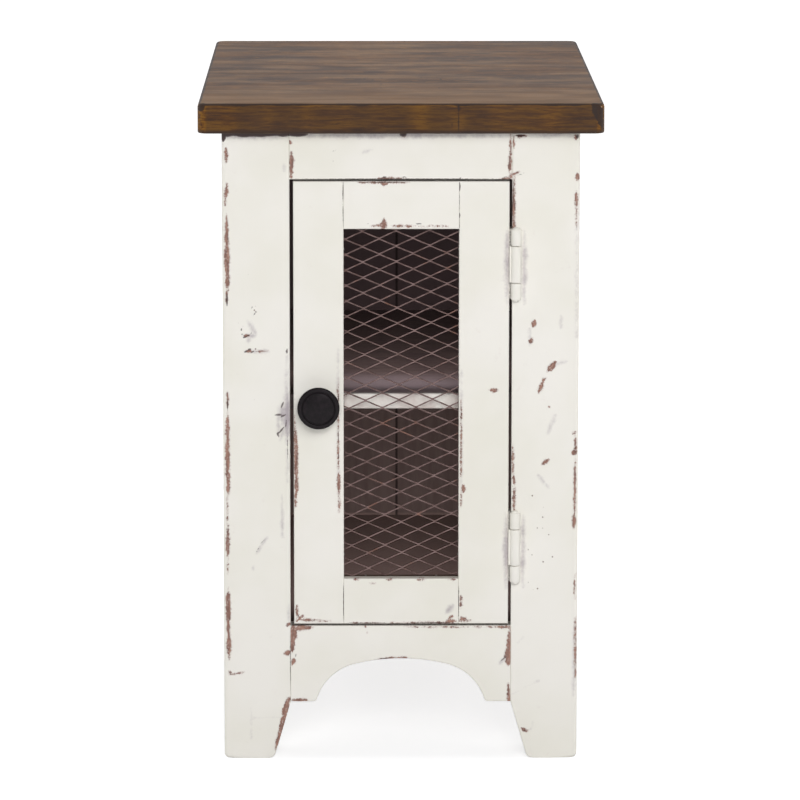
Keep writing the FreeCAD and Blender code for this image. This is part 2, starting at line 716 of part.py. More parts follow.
def door_mesh():
    """Expanded metal: rows of six-sided openings, each row half a pitch from the next.

    As many openings fit as the sheet has room for, so its shape is worked out here.
    """
    left, right = number("mesh_left - rabbet_width"), number("mesh_right + rabbet_width")
    bottom, top = number("mesh_bottom - rabbet_width"), number("mesh_top + rabbet_width")
    clearance, rim = number("mesh_clearance"), number("mesh_rim")
    pitch_x, pitch_z = number("mesh_pitch_across") / 2, number("mesh_pitch_up") / 2
    strand, bond = number("mesh_strand_width"), number("mesh_bond_length") / 2
    bond_x = number("mesh_left + mesh_first_bond_across")
    bond_z = number("mesh_top - mesh_first_bond_down")
    tip = pitch_x - bond - strand / 2
    shoulder = pitch_z - strand
    opening = [(-tip, 0), (-bond, shoulder), (bond, shoulder), (tip, 0), (bond, -shoulder),
               (-bond, -shoulder)]
    limits = ((0, 1, right - clearance - rim), (0, -1, left + clearance + rim),
              (1, 1, top - clearance - rim), (1, -1, bottom + clearance + rim))

    def wire(corners):
        points = [V(x, 0, z) for x, z in corners]
        return Part.makePolygon(points + points[:1])

    outer = [(left + clearance, bottom + clearance), (right - clearance, bottom + clearance),
             (right - clearance, top - clearance), (left + clearance, top - clearance)]
    wires = [wire(outer)]
    columns = range(math.floor((left - bond_x) / pitch_x), math.ceil((right - bond_x) / pitch_x) + 1)
    rows = range(math.floor((bottom - bond_z) / pitch_z), math.ceil((top - bond_z) / pitch_z) + 1)
    for column in columns:
        for row in rows:
            if (column + row) % 2 == 0:
                continue
            hole = [(bond_x + column * pitch_x + x, bond_z + row * pitch_z + z) for x, z in opening]
            for axis, sign, limit in limits:
                hole = clipped(hole, axis, sign, limit)
            if len(hole) > 2 and Part.Face(wire(hole)).Area > strand ** 2:
                wires.append(wire(hole))
    sheet_face = Part.makeFace(wires, "Part::FaceMakerBullseye")
    mesh = doc.addObject("Part::Feature", "door_mesh")
    mesh.Shape = sheet_face.extrude(V(0, number("mesh_thickness"), 0))
    mesh.Placement = FreeCAD.Placement(V(0, number("mesh_front"), 0), FreeCAD.Rotation())
    nodes.append(mesh)


def hinge(name, level, leg, stile):
    """A butt hinge in the gap beside the door: two thin leaves that close face to face.

    The leg leaf carries the outer knuckles and lies against the leg, level with the left side
    of the barrel. The door leaf reaches round in front of it to the middle knuckle.
    """
    whole = centred(level, "hinge_height")
    middle = centred(level, "knuckle_middle")
    plate_y = ("door_front", "leaf_back")
    gap = f"({level}) - knuckle_middle / 2 - knuckle_gap"
    lower_end = (f"({level}) - hinge_height / 2", gap)
    upper_end = (f"({level}) + knuckle_middle / 2 + knuckle_gap", f"({level}) + hinge_height / 2")
    leg_leaf = slab(f"hinge_{name}_leg_leaf", ("leaf_left", "leg_inner"), plate_y, whole)
    for low, high in (lower_end, upper_end):
        block(leg_leaf, "Additive", ("leaf_left", "leg_inner"), ("hinge_y", "door_front"), (low, high))
        rod(leg_leaf, "Additive", ("hinge_x", "hinge_y", low), "+Z", "knuckle_radius",
            f"({high}) - ({low})")
    door_leaf = slab(f"hinge_{name}_door_leaf", ("door_right", "door_leaf_right"), plate_y, whole)
    web = centred("hinge_y", "hinge_leaf_thickness")
    block(door_leaf, "Additive", ("door_right", "door_leaf_right"), (web[0], "door_front"), middle)
    block(door_leaf, "Additive", ("door_right", "hinge_x"), web, middle)
    rod(door_leaf, "Additive", ("hinge_x", "hinge_y", middle[0]), "+Z", "knuckle_radius",
        "knuckle_middle")
    for leaf in (leg_leaf, door_leaf):
        rod(leaf, "Subtractive", ("hinge_x", "hinge_y", whole[0]), "+Z",
            "hinge_pin_radius + hinge_pin_fit", "hinge_height")
    for offset in (-1, 0, 1):
        height = f"({level}) + {offset} * hinge_screw_pitch"
        sunk_screw("hinge_leg_screws", ("leaf_left", "leaf_middle", height), "+X",
                   "small_screw_length", leg_leaf, leg)
        sunk_screw("hinge_door_screws", ("door_leaf_right", "leaf_middle", height), "-X",
                   "small_screw_length", door_leaf, stile)
    half, tip = "hinge_height / 2", "hinge_height / 2 + hinge_pin_head_height"
    head_round = "(hinge_pin_head_radius ^ 2 + hinge_pin_head_height ^ 2) / (2 * hinge_pin_head_height)"
    upper_half = [("hinge_pin_radius", half), ("hinge_pin_head_radius", half), ("0", tip)]
    lower_half = [(u, f"-({v})") for u, v in reversed(upper_half)]
    turned(f"hinge_{name}_pin", upper_half + lower_half, {1: f"-({head_round})", 3: f"-({head_round})"},
           ("hinge_x", "hinge_y", level), "+Z")


def knob(stile):
    """A mushroom knob: small foot, flared head, a ring groove and a shallow dome in front."""
    rim_top = "knob_length - knob_dome"
    rim_low = f"{rim_top} - knob_rim_round - knob_rim_length"
    ring_out, ring_in = "knob_ring_radius + knob_ring_width / 2", "knob_ring_radius - knob_ring_width / 2"
    ring_floor = f"{rim_top} - knob_ring_depth"
    bore = "knob_screw_radius + screw_fit"
    corners = [
        (bore, "0"), ("knob_foot_radius", "0"), ("knob_foot_radius", "knob_foot_length"),
        ("knob_neck_radius", "knob_foot_length + knob_foot_radius - knob_neck_radius"),
        ("knob_neck_radius", "knob_neck_length"), ("knob_radius", rim_low),
        ("knob_radius", f"{rim_top} - knob_rim_round"), ("knob_radius - knob_rim_round", rim_top),
        (ring_out, rim_top), (ring_out, ring_floor), (ring_in, ring_floor), (ring_in, rim_top),
        ("0", "knob_length"), ("0", "knob_thread_depth"), (bore, "knob_thread_depth"),
    ]
    dome = f"(({ring_in}) ^ 2 + knob_dome ^ 2) / (2 * knob_dome)"
    arcs = {4: "knob_flare_radius", 6: "-knob_rim_round", 11: f"-({dome})"}
    turned("door_knob", corners, arcs, ("knob_x", "door_front", "knob_z"), "-Y")
    pan_screw("knob_screw", ("knob_x", "door_back", "knob_z"), "-Y", "knob_screw",
              "door_thickness + knob_screw_bite", (stile,))


def catch(rail, stile):
    """A magnet in a case behind the top rail, and the plate on the door that it holds."""
    case_y = ("-back_inner", "catch_depth - back_inner")
    case = slab("catch_case", centred("catch_x", "catch_width"), case_y,
                ("rail_bottom - catch_drop", "rail_bottom + catch_rise"))
    block(case, "Additive", centred("catch_x", "catch_width + 2 * catch_wing_width"),
          ("-back_inner", "catch_wing_thickness - back_inner"), ("rail_bottom", "rail_bottom + catch_rise"))
    magnet_y = ("-back_inner", "magnet_depth - back_inner")
    block(case, "Subtractive", centred("catch_x", "magnet_width + 2 * screw_fit"), magnet_y,
          centred("catch_z", "magnet_height + 2 * screw_fit"))
    slab("catch_magnet", centred("catch_x", "magnet_width"), magnet_y, centred("catch_z", "magnet_height"))
    for side in (-1, 1):
        at = (f"catch_x + {side} * (catch_width + catch_wing_width) / 2",
              "catch_wing_thickness - back_inner", "catch_wing_z")
        pan_screw("catch_screws", at, "-Y", "small_screw", "catch_screw_length", (case, rail))
    strike = slab("catch_strike", centred("catch_x", "strike_width"),
                  ("door_back", "door_back + strike_thickness"), centred("catch_z", "strike_height"))
    sunk_screw("strike_screw", ("catch_x", "door_back + strike_thickness", "catch_z"), "-Y",
               "strike_screw_length", strike, stile)


# ---- Whole ---------------------------------------------------------------------------------


def collect():
    """Gives each kind of fastener one node, as separate solids."""
    for label, fasteners in groups.items():
        group = doc.addObject("Part::Compound", label)
        group.Links = fasteners
        nodes.append(group)


def check():
    doc.recompute()
    for thing in doc.Objects:
        if {"Invalid", "Error"} & set(thing.State):
            raise RuntimeError(f"{thing.Label} did not recompute")
    for thing in nodes:
        if thing.Shape.isNull() or not thing.Shape.isValid():
            raise RuntimeError(f"{thing.Label} has no valid shape")


def build():
    top = table_top()
    made = legs()
    rails = rail_frame(made)
    panels(made, rails)
    inside(made, rails, top)
    frame = door_frame()
    door_mesh()
    mesh_strips(frame)
    for name, level in (("upper", "hinge_high"), ("lower", "hinge_low")):
        hinge(name, level, made[-1, 1][0], frame["right"])
    knob(frame["left"])
    catch(rails["front"][0], frame["left"])
    collect()
    check()


def write():
    os.makedirs("parts", exist_ok=True)
    for thing in nodes:
        thing.Shape.exportStep(os.path.join("parts", thing.Label + ".step"))
        box = thing.Shape.BoundBox
        print(f"{thing.Label:24s} {len(thing.Shape.Solids):3d} solids "
              f"{box.XMin:8.2f}{box.XMax:8.2f} {box.YMin:8.2f}{box.YMax:8.2f} {box.ZMin:8.2f}{box.ZMax:8.2f}")


build()
write()
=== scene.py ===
import itertools
import json
import math

import bmesh
import bpy
import numpy as np
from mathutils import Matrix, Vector


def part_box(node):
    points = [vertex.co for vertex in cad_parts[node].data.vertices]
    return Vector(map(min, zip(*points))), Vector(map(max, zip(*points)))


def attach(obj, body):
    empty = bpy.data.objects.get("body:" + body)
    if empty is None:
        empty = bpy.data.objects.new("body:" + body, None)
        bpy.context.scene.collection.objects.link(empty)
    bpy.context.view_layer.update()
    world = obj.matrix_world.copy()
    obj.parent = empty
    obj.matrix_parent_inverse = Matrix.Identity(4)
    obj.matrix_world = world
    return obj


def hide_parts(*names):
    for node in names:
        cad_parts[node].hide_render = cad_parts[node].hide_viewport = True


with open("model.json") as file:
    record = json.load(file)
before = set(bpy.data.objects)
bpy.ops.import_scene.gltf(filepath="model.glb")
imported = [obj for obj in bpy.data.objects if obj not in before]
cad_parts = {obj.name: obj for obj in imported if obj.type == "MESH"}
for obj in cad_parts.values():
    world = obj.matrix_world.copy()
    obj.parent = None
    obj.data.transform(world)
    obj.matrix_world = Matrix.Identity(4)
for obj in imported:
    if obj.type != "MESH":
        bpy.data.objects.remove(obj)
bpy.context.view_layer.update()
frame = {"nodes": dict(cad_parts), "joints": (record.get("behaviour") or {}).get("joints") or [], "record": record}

# A storage side table in rubbed white paint: a brown stained top, a framed cabinet on tapered
# corner legs, and a door of expanded metal. Sizes are in millimetres until a mesh is written.
MM = 0.001

# Levels and places that finishes and wear need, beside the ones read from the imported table.
TOP_LEVEL, TOP_FRONT, TOP_UNDERSIDE = 605.0, -305.0, 578.0
CABINET_FLOOR, SHELF_UNDERSIDE, SHELF_FRONT, BACK_PANEL_FACE = 124.0, 321.0, -260.0, 264.0
OPENING_CENTRE, OPENING_HALF = (0.4, 328.55), (52.2, 160.75)


def box_mm(node):
    """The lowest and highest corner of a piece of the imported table."""
    low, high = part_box(node)
    return np.array(low) / MM, np.array(high) / MM


# ---- Finishes ------------------------------------------------------------------------------


def shade(red, green, blue):
    """A colour as it is seen on a screen, turned into the light it gives back."""
    return tuple(c / 12.92 if c <= 0.04045 else ((c + 0.055) / 1.055) ** 2.4
                 for c in (red, green, blue)) + (1.0,)


class Wire:
    """What comes out of a node. Arithmetic on it writes more nodes."""

    def __init__(self, writer, socket):
        self.writer, self.socket = writer, socket

    def other(self, name):
        """Another output of the same node."""
        return Wire(self.writer, self.socket.node.outputs[name])

    def __add__(self, number):
        return self.writer.math("ADD", self, number)

    def __sub__(self, number):
        return self.writer.math("SUBTRACT", self, number)

    def __rsub__(self, number):
        return self.writer.math("SUBTRACT", number, self)

    def __mul__(self, number):
        return self.writer.math("MULTIPLY", self, number)

    def __truediv__(self, number):
        return self.writer.math("DIVIDE", self, number)

    def __neg__(self):
        return self * -1.0


class Nodes:
    """Writes a tree of nodes, one node for each call."""

    def __init__(self, tree):
        self.tree = tree
        tree.nodes.clear()

    def add(self, kind, given=None, out=0, **settings):
        node = self.tree.nodes.new(kind)
        for name, value in settings.items():
            setattr(node, name, value)
        for name, value in (given or {}).items():
            if isinstance(value, Wire):
                self.tree.links.new(value.socket, node.inputs[name])
            else:
                node.inputs[name].default_value = value
        return Wire(self, node.outputs[out]) if node.outputs else node

    def math(self, operation, *values):
        return self.add("ShaderNodeMath", dict(enumerate(values)), operation=operation)

    def vector(self, operation, *values, out=0):
        return self.add("ShaderNodeVectorMath", dict(enumerate(values)), out, operation=operation)

    def point(self, x=0.0, y=0.0, z=0.0):
        return self.add("ShaderNodeCombineXYZ", {0: x, 1: y, 2: z})

    def directly_seen(self):
        """1 for what the camera sees, also by way of gloss or glass."""
        path = self.add("ShaderNodeLightPath")
        return self.math("MAXIMUM", path.other("Is Camera Ray"), self.math(
            "MAXIMUM", path.other("Is Glossy Ray"), path.other("Is Transmission Ray")))


class Finish(Nodes):
    """A finish for one or more pieces, with its place on the table in millimetres."""

    def __init__(self, name):
        self.material = bpy.data.materials.new(name)
        self.material.use_nodes = True
        super().__init__(self.material.node_tree)
        metres = self.add("ShaderNodeTexCoord", out=3)
        self.place = self.stretched(metres, (1 / MM,) * 3)

    def stretched(self, place, by):
        return self.vector("MULTIPLY", place, by)

    def axis(self, which):
        return self.add("ShaderNodeSeparateXYZ", {0: self.place}, out="XYZ".index(which))

    def cloud(self, size, detail, roughness=0.5, stretch=(1, 1, 1), warp=0.0, place=None):
        """Noise from 0 to 1 whose lumps are about a size across."""
        at = self.stretched(place or self.place, tuple(1 / (size * s) for s in stretch))
        return self.add("ShaderNodeTexNoise", {"Vector": at, "Scale": 1.0, "Detail": detail,
                                               "Roughness": roughness, "Distortion": warp})

    def between(self, value, low, high, floor=0.0, ceiling=1.0):
        """Eases from a floor to a ceiling as a value goes from low to high."""
        return self.add("ShaderNodeMapRange",
                        {"Value": value, "From Min": low, "From Max": high,
                         "To Min": floor, "To Max": ceiling}, interpolation_type="SMOOTHSTEP")

    def mix(self, share, under, over):
        return self.add("ShaderNodeMix", {0: share, 6: under, 7: over}, out=2, data_type="RGBA")

    def laid(self, under, over, value, low, high, most=1.0):
        """A colour laid over another, from none to most as a value goes from low to high."""
        return self.mix(self.between(value, low, high, 0.0, most), under, over)

    def away_from(self, centre, reach):
        """How far each point is from a centre, counted in reaches along X, Y and Z."""
        offset = self.vector("SUBTRACT", self.place, centre)
        return self.vector("LENGTH", self.stretched(offset, tuple(1 / r for r in reach)), out=1)

    def made_of(self, attribute):
        """A number that the mesh carries at each point."""
        return self.add("ShaderNodeAttribute", out=2, attribute_name=attribute)

    def holes(self, size, share):
        """Small round pits, in a share of the cells that fill the place."""
        cells = self.add("ShaderNodeTexVoronoi", {
            "Vector": self.stretched(self.place, tuple(1 / s for s in size)), "Scale": 1.0,
            "Randomness": 1.0})
        chosen = self.math("LESS_THAN", self.add(
            "ShaderNodeSeparateColor", {0: cells.other("Color")}), share)
        return self.between(cells, 0.20, 0.09) * chosen

    def relief(self, height, depth, under=None):
        given = {"Strength": 1.0, "Distance": depth * MM, "Height": height}
        if under is not None:
            given["Normal"] = under
        return self.add("ShaderNodeBump", given)

    def surface(self, colour, roughness, normal=None, **constants):
        given = {"Base Color": colour, "Roughness": roughness}
        given.update({name.replace("_", " "): value for name, value in constants.items()})
        if normal is not None:
            given["Normal"] = normal
        shader = self.add("ShaderNodeBsdfPrincipled", given)
        self.add("ShaderNodeOutputMaterial", {0: shader})
        return self.material


WARM_WHITE = shade(0.925, 0.912, 0.884)
CREAM_WHITE = shade(0.90, 0.888, 0.845)
THIN_PAINT = shade(0.80, 0.745, 0.72)
BARE_BROWN = shade(0.64, 0.49, 0.43)
DEEP_BROWN = shade(0.43, 0.315, 0.285)
# Grey of the smudges, also painted shadow under the top's overhang and beside the hinge barrels.
SMOKE_AND_SHADOW = shade(0.58, 0.53, 0.57)
INSIDE_BROWN = shade(0.45, 0.385, 0.37)
INSIDE_DARK = shade(0.415, 0.35, 0.335)
# The inside's brown in painted shade: above the shelf, on the shelf behind its white, and behind the door's
# stiles.
SHADED_INSIDE_BROWN = shade(0.30, 0.245, 0.25)
# Painted light: the cabinet floor lighter towards the back.
FLOOR_BACK_PAINTED_LIGHT = shade(0.54, 0.455, 0.435)
FLOOR_FRONT = shade(0.33, 0.275, 0.265)
STAIN_MID = shade(0.33, 0.21, 0.095)
STAIN_LIGHT = shade(0.415, 0.29, 0.14)
STAIN_DARK = shade(0.20, 0.125, 0.085)
STAIN_GOLD = shade(0.50, 0.34, 0.13)
STAIN_WORN = shade(0.12, 0.08, 0.07)
# Grime in scratches and joints; the same tones are painted shade under the top's overhang and in the seams, the
# deeper one in the widest marks.
GRIME_AND_SHADE = shade(0.25, 0.185, 0.18)
DEEP_GRIME_AND_SHADE = shade(0.15, 0.05, 0.03)
SCRAPED_WOOD = shade(0.72, 0.60, 0.48)
EDGE_BROWN = shade(0.335, 0.205, 0.07)
EDGE_GOLD = shade(0.46, 0.31, 0.10)
EDGE_DARK = shade(0.21, 0.12, 0.04)
SEAM_BROWN = shade(0.20, 0.14, 0.13)
# Painted shade on the shelf's top behind its front edge.
SHELF_TOP_SHADE = shade(0.56, 0.495, 0.51)
# Beyond this distance from the middle, the shelf is painted in shade behind the door's stiles.
SHADED_BEHIND_STILES = 96.0


def rubbed_paint(name):
    """Warm white paint, rubbed through to brown wood where a mesh's points say so.

    worn: millimetres inside a rubbed place, then the same for soft grey marks and for dark marks,
    which are smudges and grime but also painted shadow beside the hinges and painted shade under
    the top's overhang, in the seams and in a crease, pitted: the share of worm holes.
    """
    f = Finish(name)
    paint = f.laid(WARM_WHITE, CREAM_WHITE, f.cloud(90, 3), 0.3, 0.7)
    brushed = f.cloud(1.6, 3, 0.6)
    dirt = f.between(f.cloud(14, 5, 0.7), 0.62, 0.80)
    paint = f.mix(dirt * 0.22, paint, THIN_PAINT)
    ragged = f.cloud(5.0, 3, 0.65) - 0.5
    crumbs = f.cloud(1.5, 3, 0.7) - 0.5
    depth = f.made_of("worn") + (ragged * 3.6 + crumbs * 3.8)
    halo = f.between(depth, -1.3, 0.1)
    bare = f.between(depth, -0.15, 0.3)
    grain = f.cloud(2.4, 4, 0.65, stretch=(1, 1, 5))
    wood = f.laid(DEEP_BROWN, BARE_BROWN, grain, 0.32, 0.68)
    wood = f.laid(wood, BARE_BROWN, f.cloud(9, 3, 0.6), 0.45, 0.7, 0.5)
    wood = f.laid(wood, THIN_PAINT, f.cloud(1.3, 3, 0.65), 0.56, 0.64, 0.65)
    haze = (f.cloud(7, 4, 0.7) - 0.5) * 7.0
    # Grey smudges, and painted shadow under the top's overhang and beside the hinge barrels.
    paint = f.laid(paint, SMOKE_AND_SHADOW, f.made_of("smudge_and_shadow") + haze, -2.2, 4.5, 0.8)
    paint = f.mix(halo * 0.7, paint, THIN_PAINT)
    pit = f.holes((4.6, 4.6, 4.6), f.made_of("pitted"))
    colour = f.mix(bare, paint, wood)
    # Grime, and painted shade under the top's overhang, in the seams and in the crease behind the cabinet floor.
    colour = f.laid(colour, GRIME_AND_SHADE, f.made_of("grime_and_shade") + crumbs * 1.1, -0.2, 0.3, 0.88)
    colour = f.laid(colour, DEEP_GRIME_AND_SHADE, f.made_of("grime_and_shade"), 0.5, 1.1, 0.95)
    colour = f.mix(pit * 0.85, colour, DEEP_BROWN)
    rough = f.between(brushed, 0, 1, 0.40, 0.54) + bare * 0.28
    skin = f.relief(brushed, 0.05)
    skin = f.relief(bare + pit, -0.28, skin)
    return f.surface(colour, rough, skin)


# Knots and dark places in the top: (x, y, half a length, half a width, how dark).
TOP_FIGURE = ((-91, -126, 17, 16, 0.6), (-68, -35, 34, 18, 0.45), (29, 160, 18, 9, 0.5),
              (90, 70, 44, 12, 0.45), (-11, -188, 15, 4, 0.5), (-49, -76, 3, 4, 0.8),
              (-17, -76, 3, 4, 0.8), (108, 140, 3, 5, 0.8), (-150, 60, 30, 14, 0.3),
              (140, -150, 40, 12, 0.35))

TOP_PLANK, END_JOINT = 122.0, 51.4

# Pitted places in the top: (x, y, half a length, half a width).
TOP_PITTED = ((0, -110, 58, 60), (106, 153, 24, 16))


def stained_top():
    """Brown stain over five planks, with grain across the table and edges worn darker."""
    f = Finish("stained_top")
    x, y = f.axis("X"), f.axis("Y")
    across = y - TOP_FRONT
    plank = f.math("FLOOR", across / TOP_PLANK)
    own = f.vector("ADD", f.place, f.point(plank * 371.0, plank * 53.0))
    figure = f.cloud(75, 3, 0.55, stretch=(1.5, 1, 1), warp=0.5, place=own)
    streak = f.cloud(30, 3, 0.5, stretch=(3.4, 1, 1), warp=0.35, place=own)
    fine = f.cloud(1.5, 3, 0.65, stretch=(9, 4, 1), place=own)
    pore = f.cloud(0.6, 3, 0.7, stretch=(9, 4, 1), place=own)
    colour = f.laid(STAIN_DARK, STAIN_MID, figure, 0.36, 0.62)
    colour = f.laid(colour, STAIN_LIGHT, streak, 0.44, 0.70, 0.8)
    colour = f.laid(colour, STAIN_DARK, streak, 0.46, 0.30, 0.45)
    colour = f.laid(colour, STAIN_DARK, fine, 0.50, 0.34, 0.6)
    colour = f.laid(colour, STAIN_GOLD, fine, 0.54, 0.70, 0.5)
    colour = f.laid(colour, STAIN_DARK, pore, 0.44, 0.34, 0.5)
    bend = (streak - 0.5) * 1.1
    for knot_x, knot_y, half_length, half_width, dark in TOP_FIGURE:
        aside = f.away_from((knot_x, knot_y, TOP_LEVEL), (half_length, half_width, 50.0))
        colour = f.laid(colour, STAIN_DARK, aside + bend, 1.15, 0.45, dark)
    for pitted_x, pitted_y, half_length, half_width in TOP_PITTED:
        aside = f.away_from((pitted_x, pitted_y, TOP_LEVEL), (half_length, half_width, 50.0))
        pits = f.holes((9.0, 34.0, 34.0), f.between(aside, 1.3, 0.6, 0.0, 0.6))
        colour = f.mix(pits * 0.9, colour, STAIN_WORN)
    line = f.cloud(2.2, 4, 0.6, stretch=(13, 1, 1), warp=0.35)
    hair = f.cloud(0.8, 3, 0.7, stretch=(11, 6, 1), warp=0.1)
    band = f.laid(EDGE_BROWN, EDGE_GOLD, line, 0.40, 0.62)
    band = f.laid(band, EDGE_DARK, line, 0.42, 0.30, 0.9)
    band = f.laid(band, EDGE_DARK, hair, 0.48, 0.34, 0.6)
    band = f.laid(band, EDGE_GOLD, hair, 0.55, 0.68, 0.6)
    band = f.laid(band, STAIN_WORN, f.axis("Z"), TOP_UNDERSIDE + 5.0, TOP_UNDERSIDE + 1.0, 0.8)
    colour = f.laid(colour, STAIN_LIGHT, y, -120.0, TOP_FRONT + 20.0, 0.55)
    colour = f.laid(colour, band, f.axis("Z"), TOP_LEVEL - 0.8, TOP_LEVEL - 2.6)
    seam = f.between(f.math("PINGPONG", across, TOP_PLANK / 2), 0.9, 0.2, 0.0, 0.6)
    joint = f.between(f.math("ABSOLUTE", x - END_JOINT), 0.9, 0.3, 0.0, 0.7)
    cut = f.math("MAXIMUM", seam, joint * f.math("LESS_THAN", y, TOP_FRONT + 2.0))
    colour = f.mix(cut, colour, STAIN_WORN)
    ragged = (f.cloud(6, 4, 0.65, stretch=(3, 1, 1)) - 0.5) * 4.0
    colour = f.laid(colour, STAIN_WORN, f.made_of("worn") + ragged, -0.6, 0.8, 0.9)
    scraped = f.made_of("scraped") + ragged * 0.08
    colour = f.laid(colour, SCRAPED_WOOD, scraped, 0.0, 0.25, 0.8)
    skin = f.relief(fine + pore, 0.10)
    skin = f.relief(cut, -0.3, skin)
    return f.surface(colour, f.between(streak, 0.2, 0.8, 0.68, 0.56), skin,
                     Specular_IOR_Level=0.3)


def inside_stain():
    """Dark brown stain of the cabinet's inside, with painted shade above the shelf and painted light on the floor
    towards the back.
    """
    f = Finish("inside_stain")
    grain = f.cloud(5, 4, 0.6, stretch=(1, 1, 8))
    colour = f.laid(INSIDE_DARK, INSIDE_BROWN, grain, 0.3, 0.7)
    # Painted shade: darker above the shelf.
    above = f.between(f.axis("Z"), SHELF_UNDERSIDE - 3.0, SHELF_UNDERSIDE + 9.0)
    colour = f.mix(above * 0.9, colour, SHADED_INSIDE_BROWN)
    # Painted light: the floor lighter towards the back.
    floor = f.laid(FLOOR_FRONT, FLOOR_BACK_PAINTED_LIGHT, f.axis("Y"), -240.0, 200.0)
    colour = f.laid(colour, floor, f.axis("Z"), CABINET_FLOOR + 3.0, CABINET_FLOOR + 0.5, 0.85)
    at_back = f.math("GREATER_THAN", f.axis("Y"), BACK_PANEL_FACE - 2.0)
    groove = f.between(f.math("ABSOLUTE", f.axis("X")), 1.4, 0.8) * at_back
    colour = f.mix(groove * 0.8, colour, STAIN_WORN)
    return f.surface(colour, f.between(grain, 0.2, 0.8, 0.62, 0.5), f.relief(grain, 0.12),
                     Specular_IOR_Level=0.3)


def shelf_paint():
    """White paint along the shelf's front, fading by painted shade into the inside's brown behind it, with painted
    shade on its top behind the front edge and beside the door's stiles.
    """
    f = Finish("shelf_paint")
    brushed = f.cloud(1.6, 3, 0.6)
    back = f.axis("Y") - (SHELF_FRONT + 2.0)
    uneven = (f.cloud(60, 3) - 0.5) * 60.0
    # Painted shade: the white fades into brown further back on the shelf.
    stained = f.between(back + uneven, 25.0, 135.0)
    grain = f.cloud(5, 4, 0.6, stretch=(8, 1, 1))
    brown = f.laid(SHADED_INSIDE_BROWN, INSIDE_DARK, grain, 0.3, 0.7)
    white = f.laid(WARM_WHITE, THIN_PAINT, f.cloud(30, 4, 0.6), 0.35, 0.75)
    # Painted shade on the top behind the front edge.
    white = f.laid(white, SHELF_TOP_SHADE, back, 1.5, 5.0)
    # Painted shade on the shelf behind the door's stiles.
    beside = f.math("GREATER_THAN", f.math("ABSOLUTE", f.axis("X")), SHADED_BEHIND_STILES)
    white = f.mix(beside * 0.95, white, SHADED_INSIDE_BROWN)
    return f.surface(f.mix(stained, white, brown), f.between(brushed, 0, 1, 0.45, 0.6),
                     f.relief(brushed, 0.06))


def bare_wood():
    """Unfinished wood, dark brown only where it lines the door's opening."""
    f = Finish("bare_wood")
    grain = f.cloud(3, 4, 0.6, stretch=(6, 6, 1), warp=0.3)
    colour = f.laid(shade(0.62, 0.47, 0.32), shade(0.76, 0.62, 0.45), grain, 0.3, 0.7)
    beside, above = (f.math("ABSOLUTE", f.axis(axis) - centre) - half
                     for axis, centre, half in zip("XZ", OPENING_CENTRE, OPENING_HALF))
    opening = f.math("LESS_THAN", f.math("MAXIMUM", beside, above), 0.3)
    colour = f.mix(opening * 0.92, colour, SEAM_BROWN)
    return f.surface(colour, f.between(grain, 0.2, 0.8, 0.75, 0.62), f.relief(grain, 0.15))


def aged_metal():
    """Brown-grey expanded metal with traces of copper at its bonds."""
    f = Finish("aged_metal")
    tarnish = f.cloud(5, 4, 0.65)
    colour = f.laid(shade(0.355, 0.275, 0.26), shade(0.46, 0.375, 0.365), tarnish, 0.35, 0.65)
    colour = f.laid(colour, shade(0.50, 0.33, 0.25), f.cloud(22, 3, 0.6), 0.60, 0.74, 0.6)
    return f.surface(colour, f.between(tarnish, 0.2, 0.8, 0.62, 0.44), f.relief(tarnish, 0.06),
                     Metallic=0.35)


def satin_black():
    """Black paint with a low sheen, rubbed a little."""
    f = Finish("satin_black")
    rub = f.cloud(3.5, 4, 0.65)
    colour = f.laid(shade(0.05, 0.035, 0.045), shade(0.105, 0.08, 0.095), rub, 0.35, 0.7)
    return f.surface(colour, f.between(rub, 0.25, 0.75, 0.28, 0.40), f.relief(rub, 0.05),
                     Specular_IOR_Level=0.13)


def plain(name, dark, light, size, roughness, relief, **constants):
    """A finish of two near shades with a fine grain."""
    f = Finish(name)
    speckle = f.cloud(size, 3, 0.6)
    colour = f.laid(shade(*dark), shade(*light), speckle, 0.35, 0.65)
    low, high = roughness
    return f.surface(colour, f.between(speckle, 0.2, 0.8, low, high), f.relief(speckle, relief),
                     **constants)


FINISHES = {
    "painted_wood": rubbed_paint("rubbed_paint"),
    "stained_top": stained_top(),
    "brown_interior": inside_stain(),
    "bare_wood": bare_wood(),
    "aged_mesh": aged_metal(),
    "black_knob": satin_black(),
    "painted_hinge": rubbed_paint("hinge_paint"),
    "white_plastic": plain("white_plastic", (0.84, 0.83, 0.80), (0.89, 0.88, 0.85), 0.8,
                           (0.42, 0.52), 0.04),
    "dark_magnet": plain("dark_magnet", (0.11, 0.11, 0.12), (0.17, 0.17, 0.18), 0.7,
                         (0.5, 0.62), 0.06, Metallic=0.4),
    "zinc_steel": plain("zinc_steel", (0.60, 0.60, 0.58), (0.72, 0.72, 0.70), 1.2,
                        (0.3, 0.42), 0.04, Metallic=1.0),
}


# ---- Wear ----------------------------------------------------------------------------------


def lumps(points, size, seed):
    """Smooth random numbers from 0 to 1 at points, in lumps of about a size."""
    cell = points / size
    base = np.floor(cell).astype(np.int64)
    part = cell - base
    part = part * part * (3 - 2 * part)
    total = np.zeros(len(points))
    for corner in itertools.product((0, 1), repeat=3):
        at = base + corner
        code = at[:, 0] * 374761393 + at[:, 1] * 668265263 + at[:, 2] * 1442695041 + seed * 40503
        code = ((code ^ (code >> 13)) * 1274126177) & 0xFFFFFFFF
        share = np.prod(np.where(corner, part, 1 - part), axis=1)
        total += share * ((code ^ (code >> 16)) & 0xFFFF) / 65535
    return total


# What a point carries far from every mark, and how far a point is from an edge it isn't near.
WHOLE, FAR = -9.0, 99.0


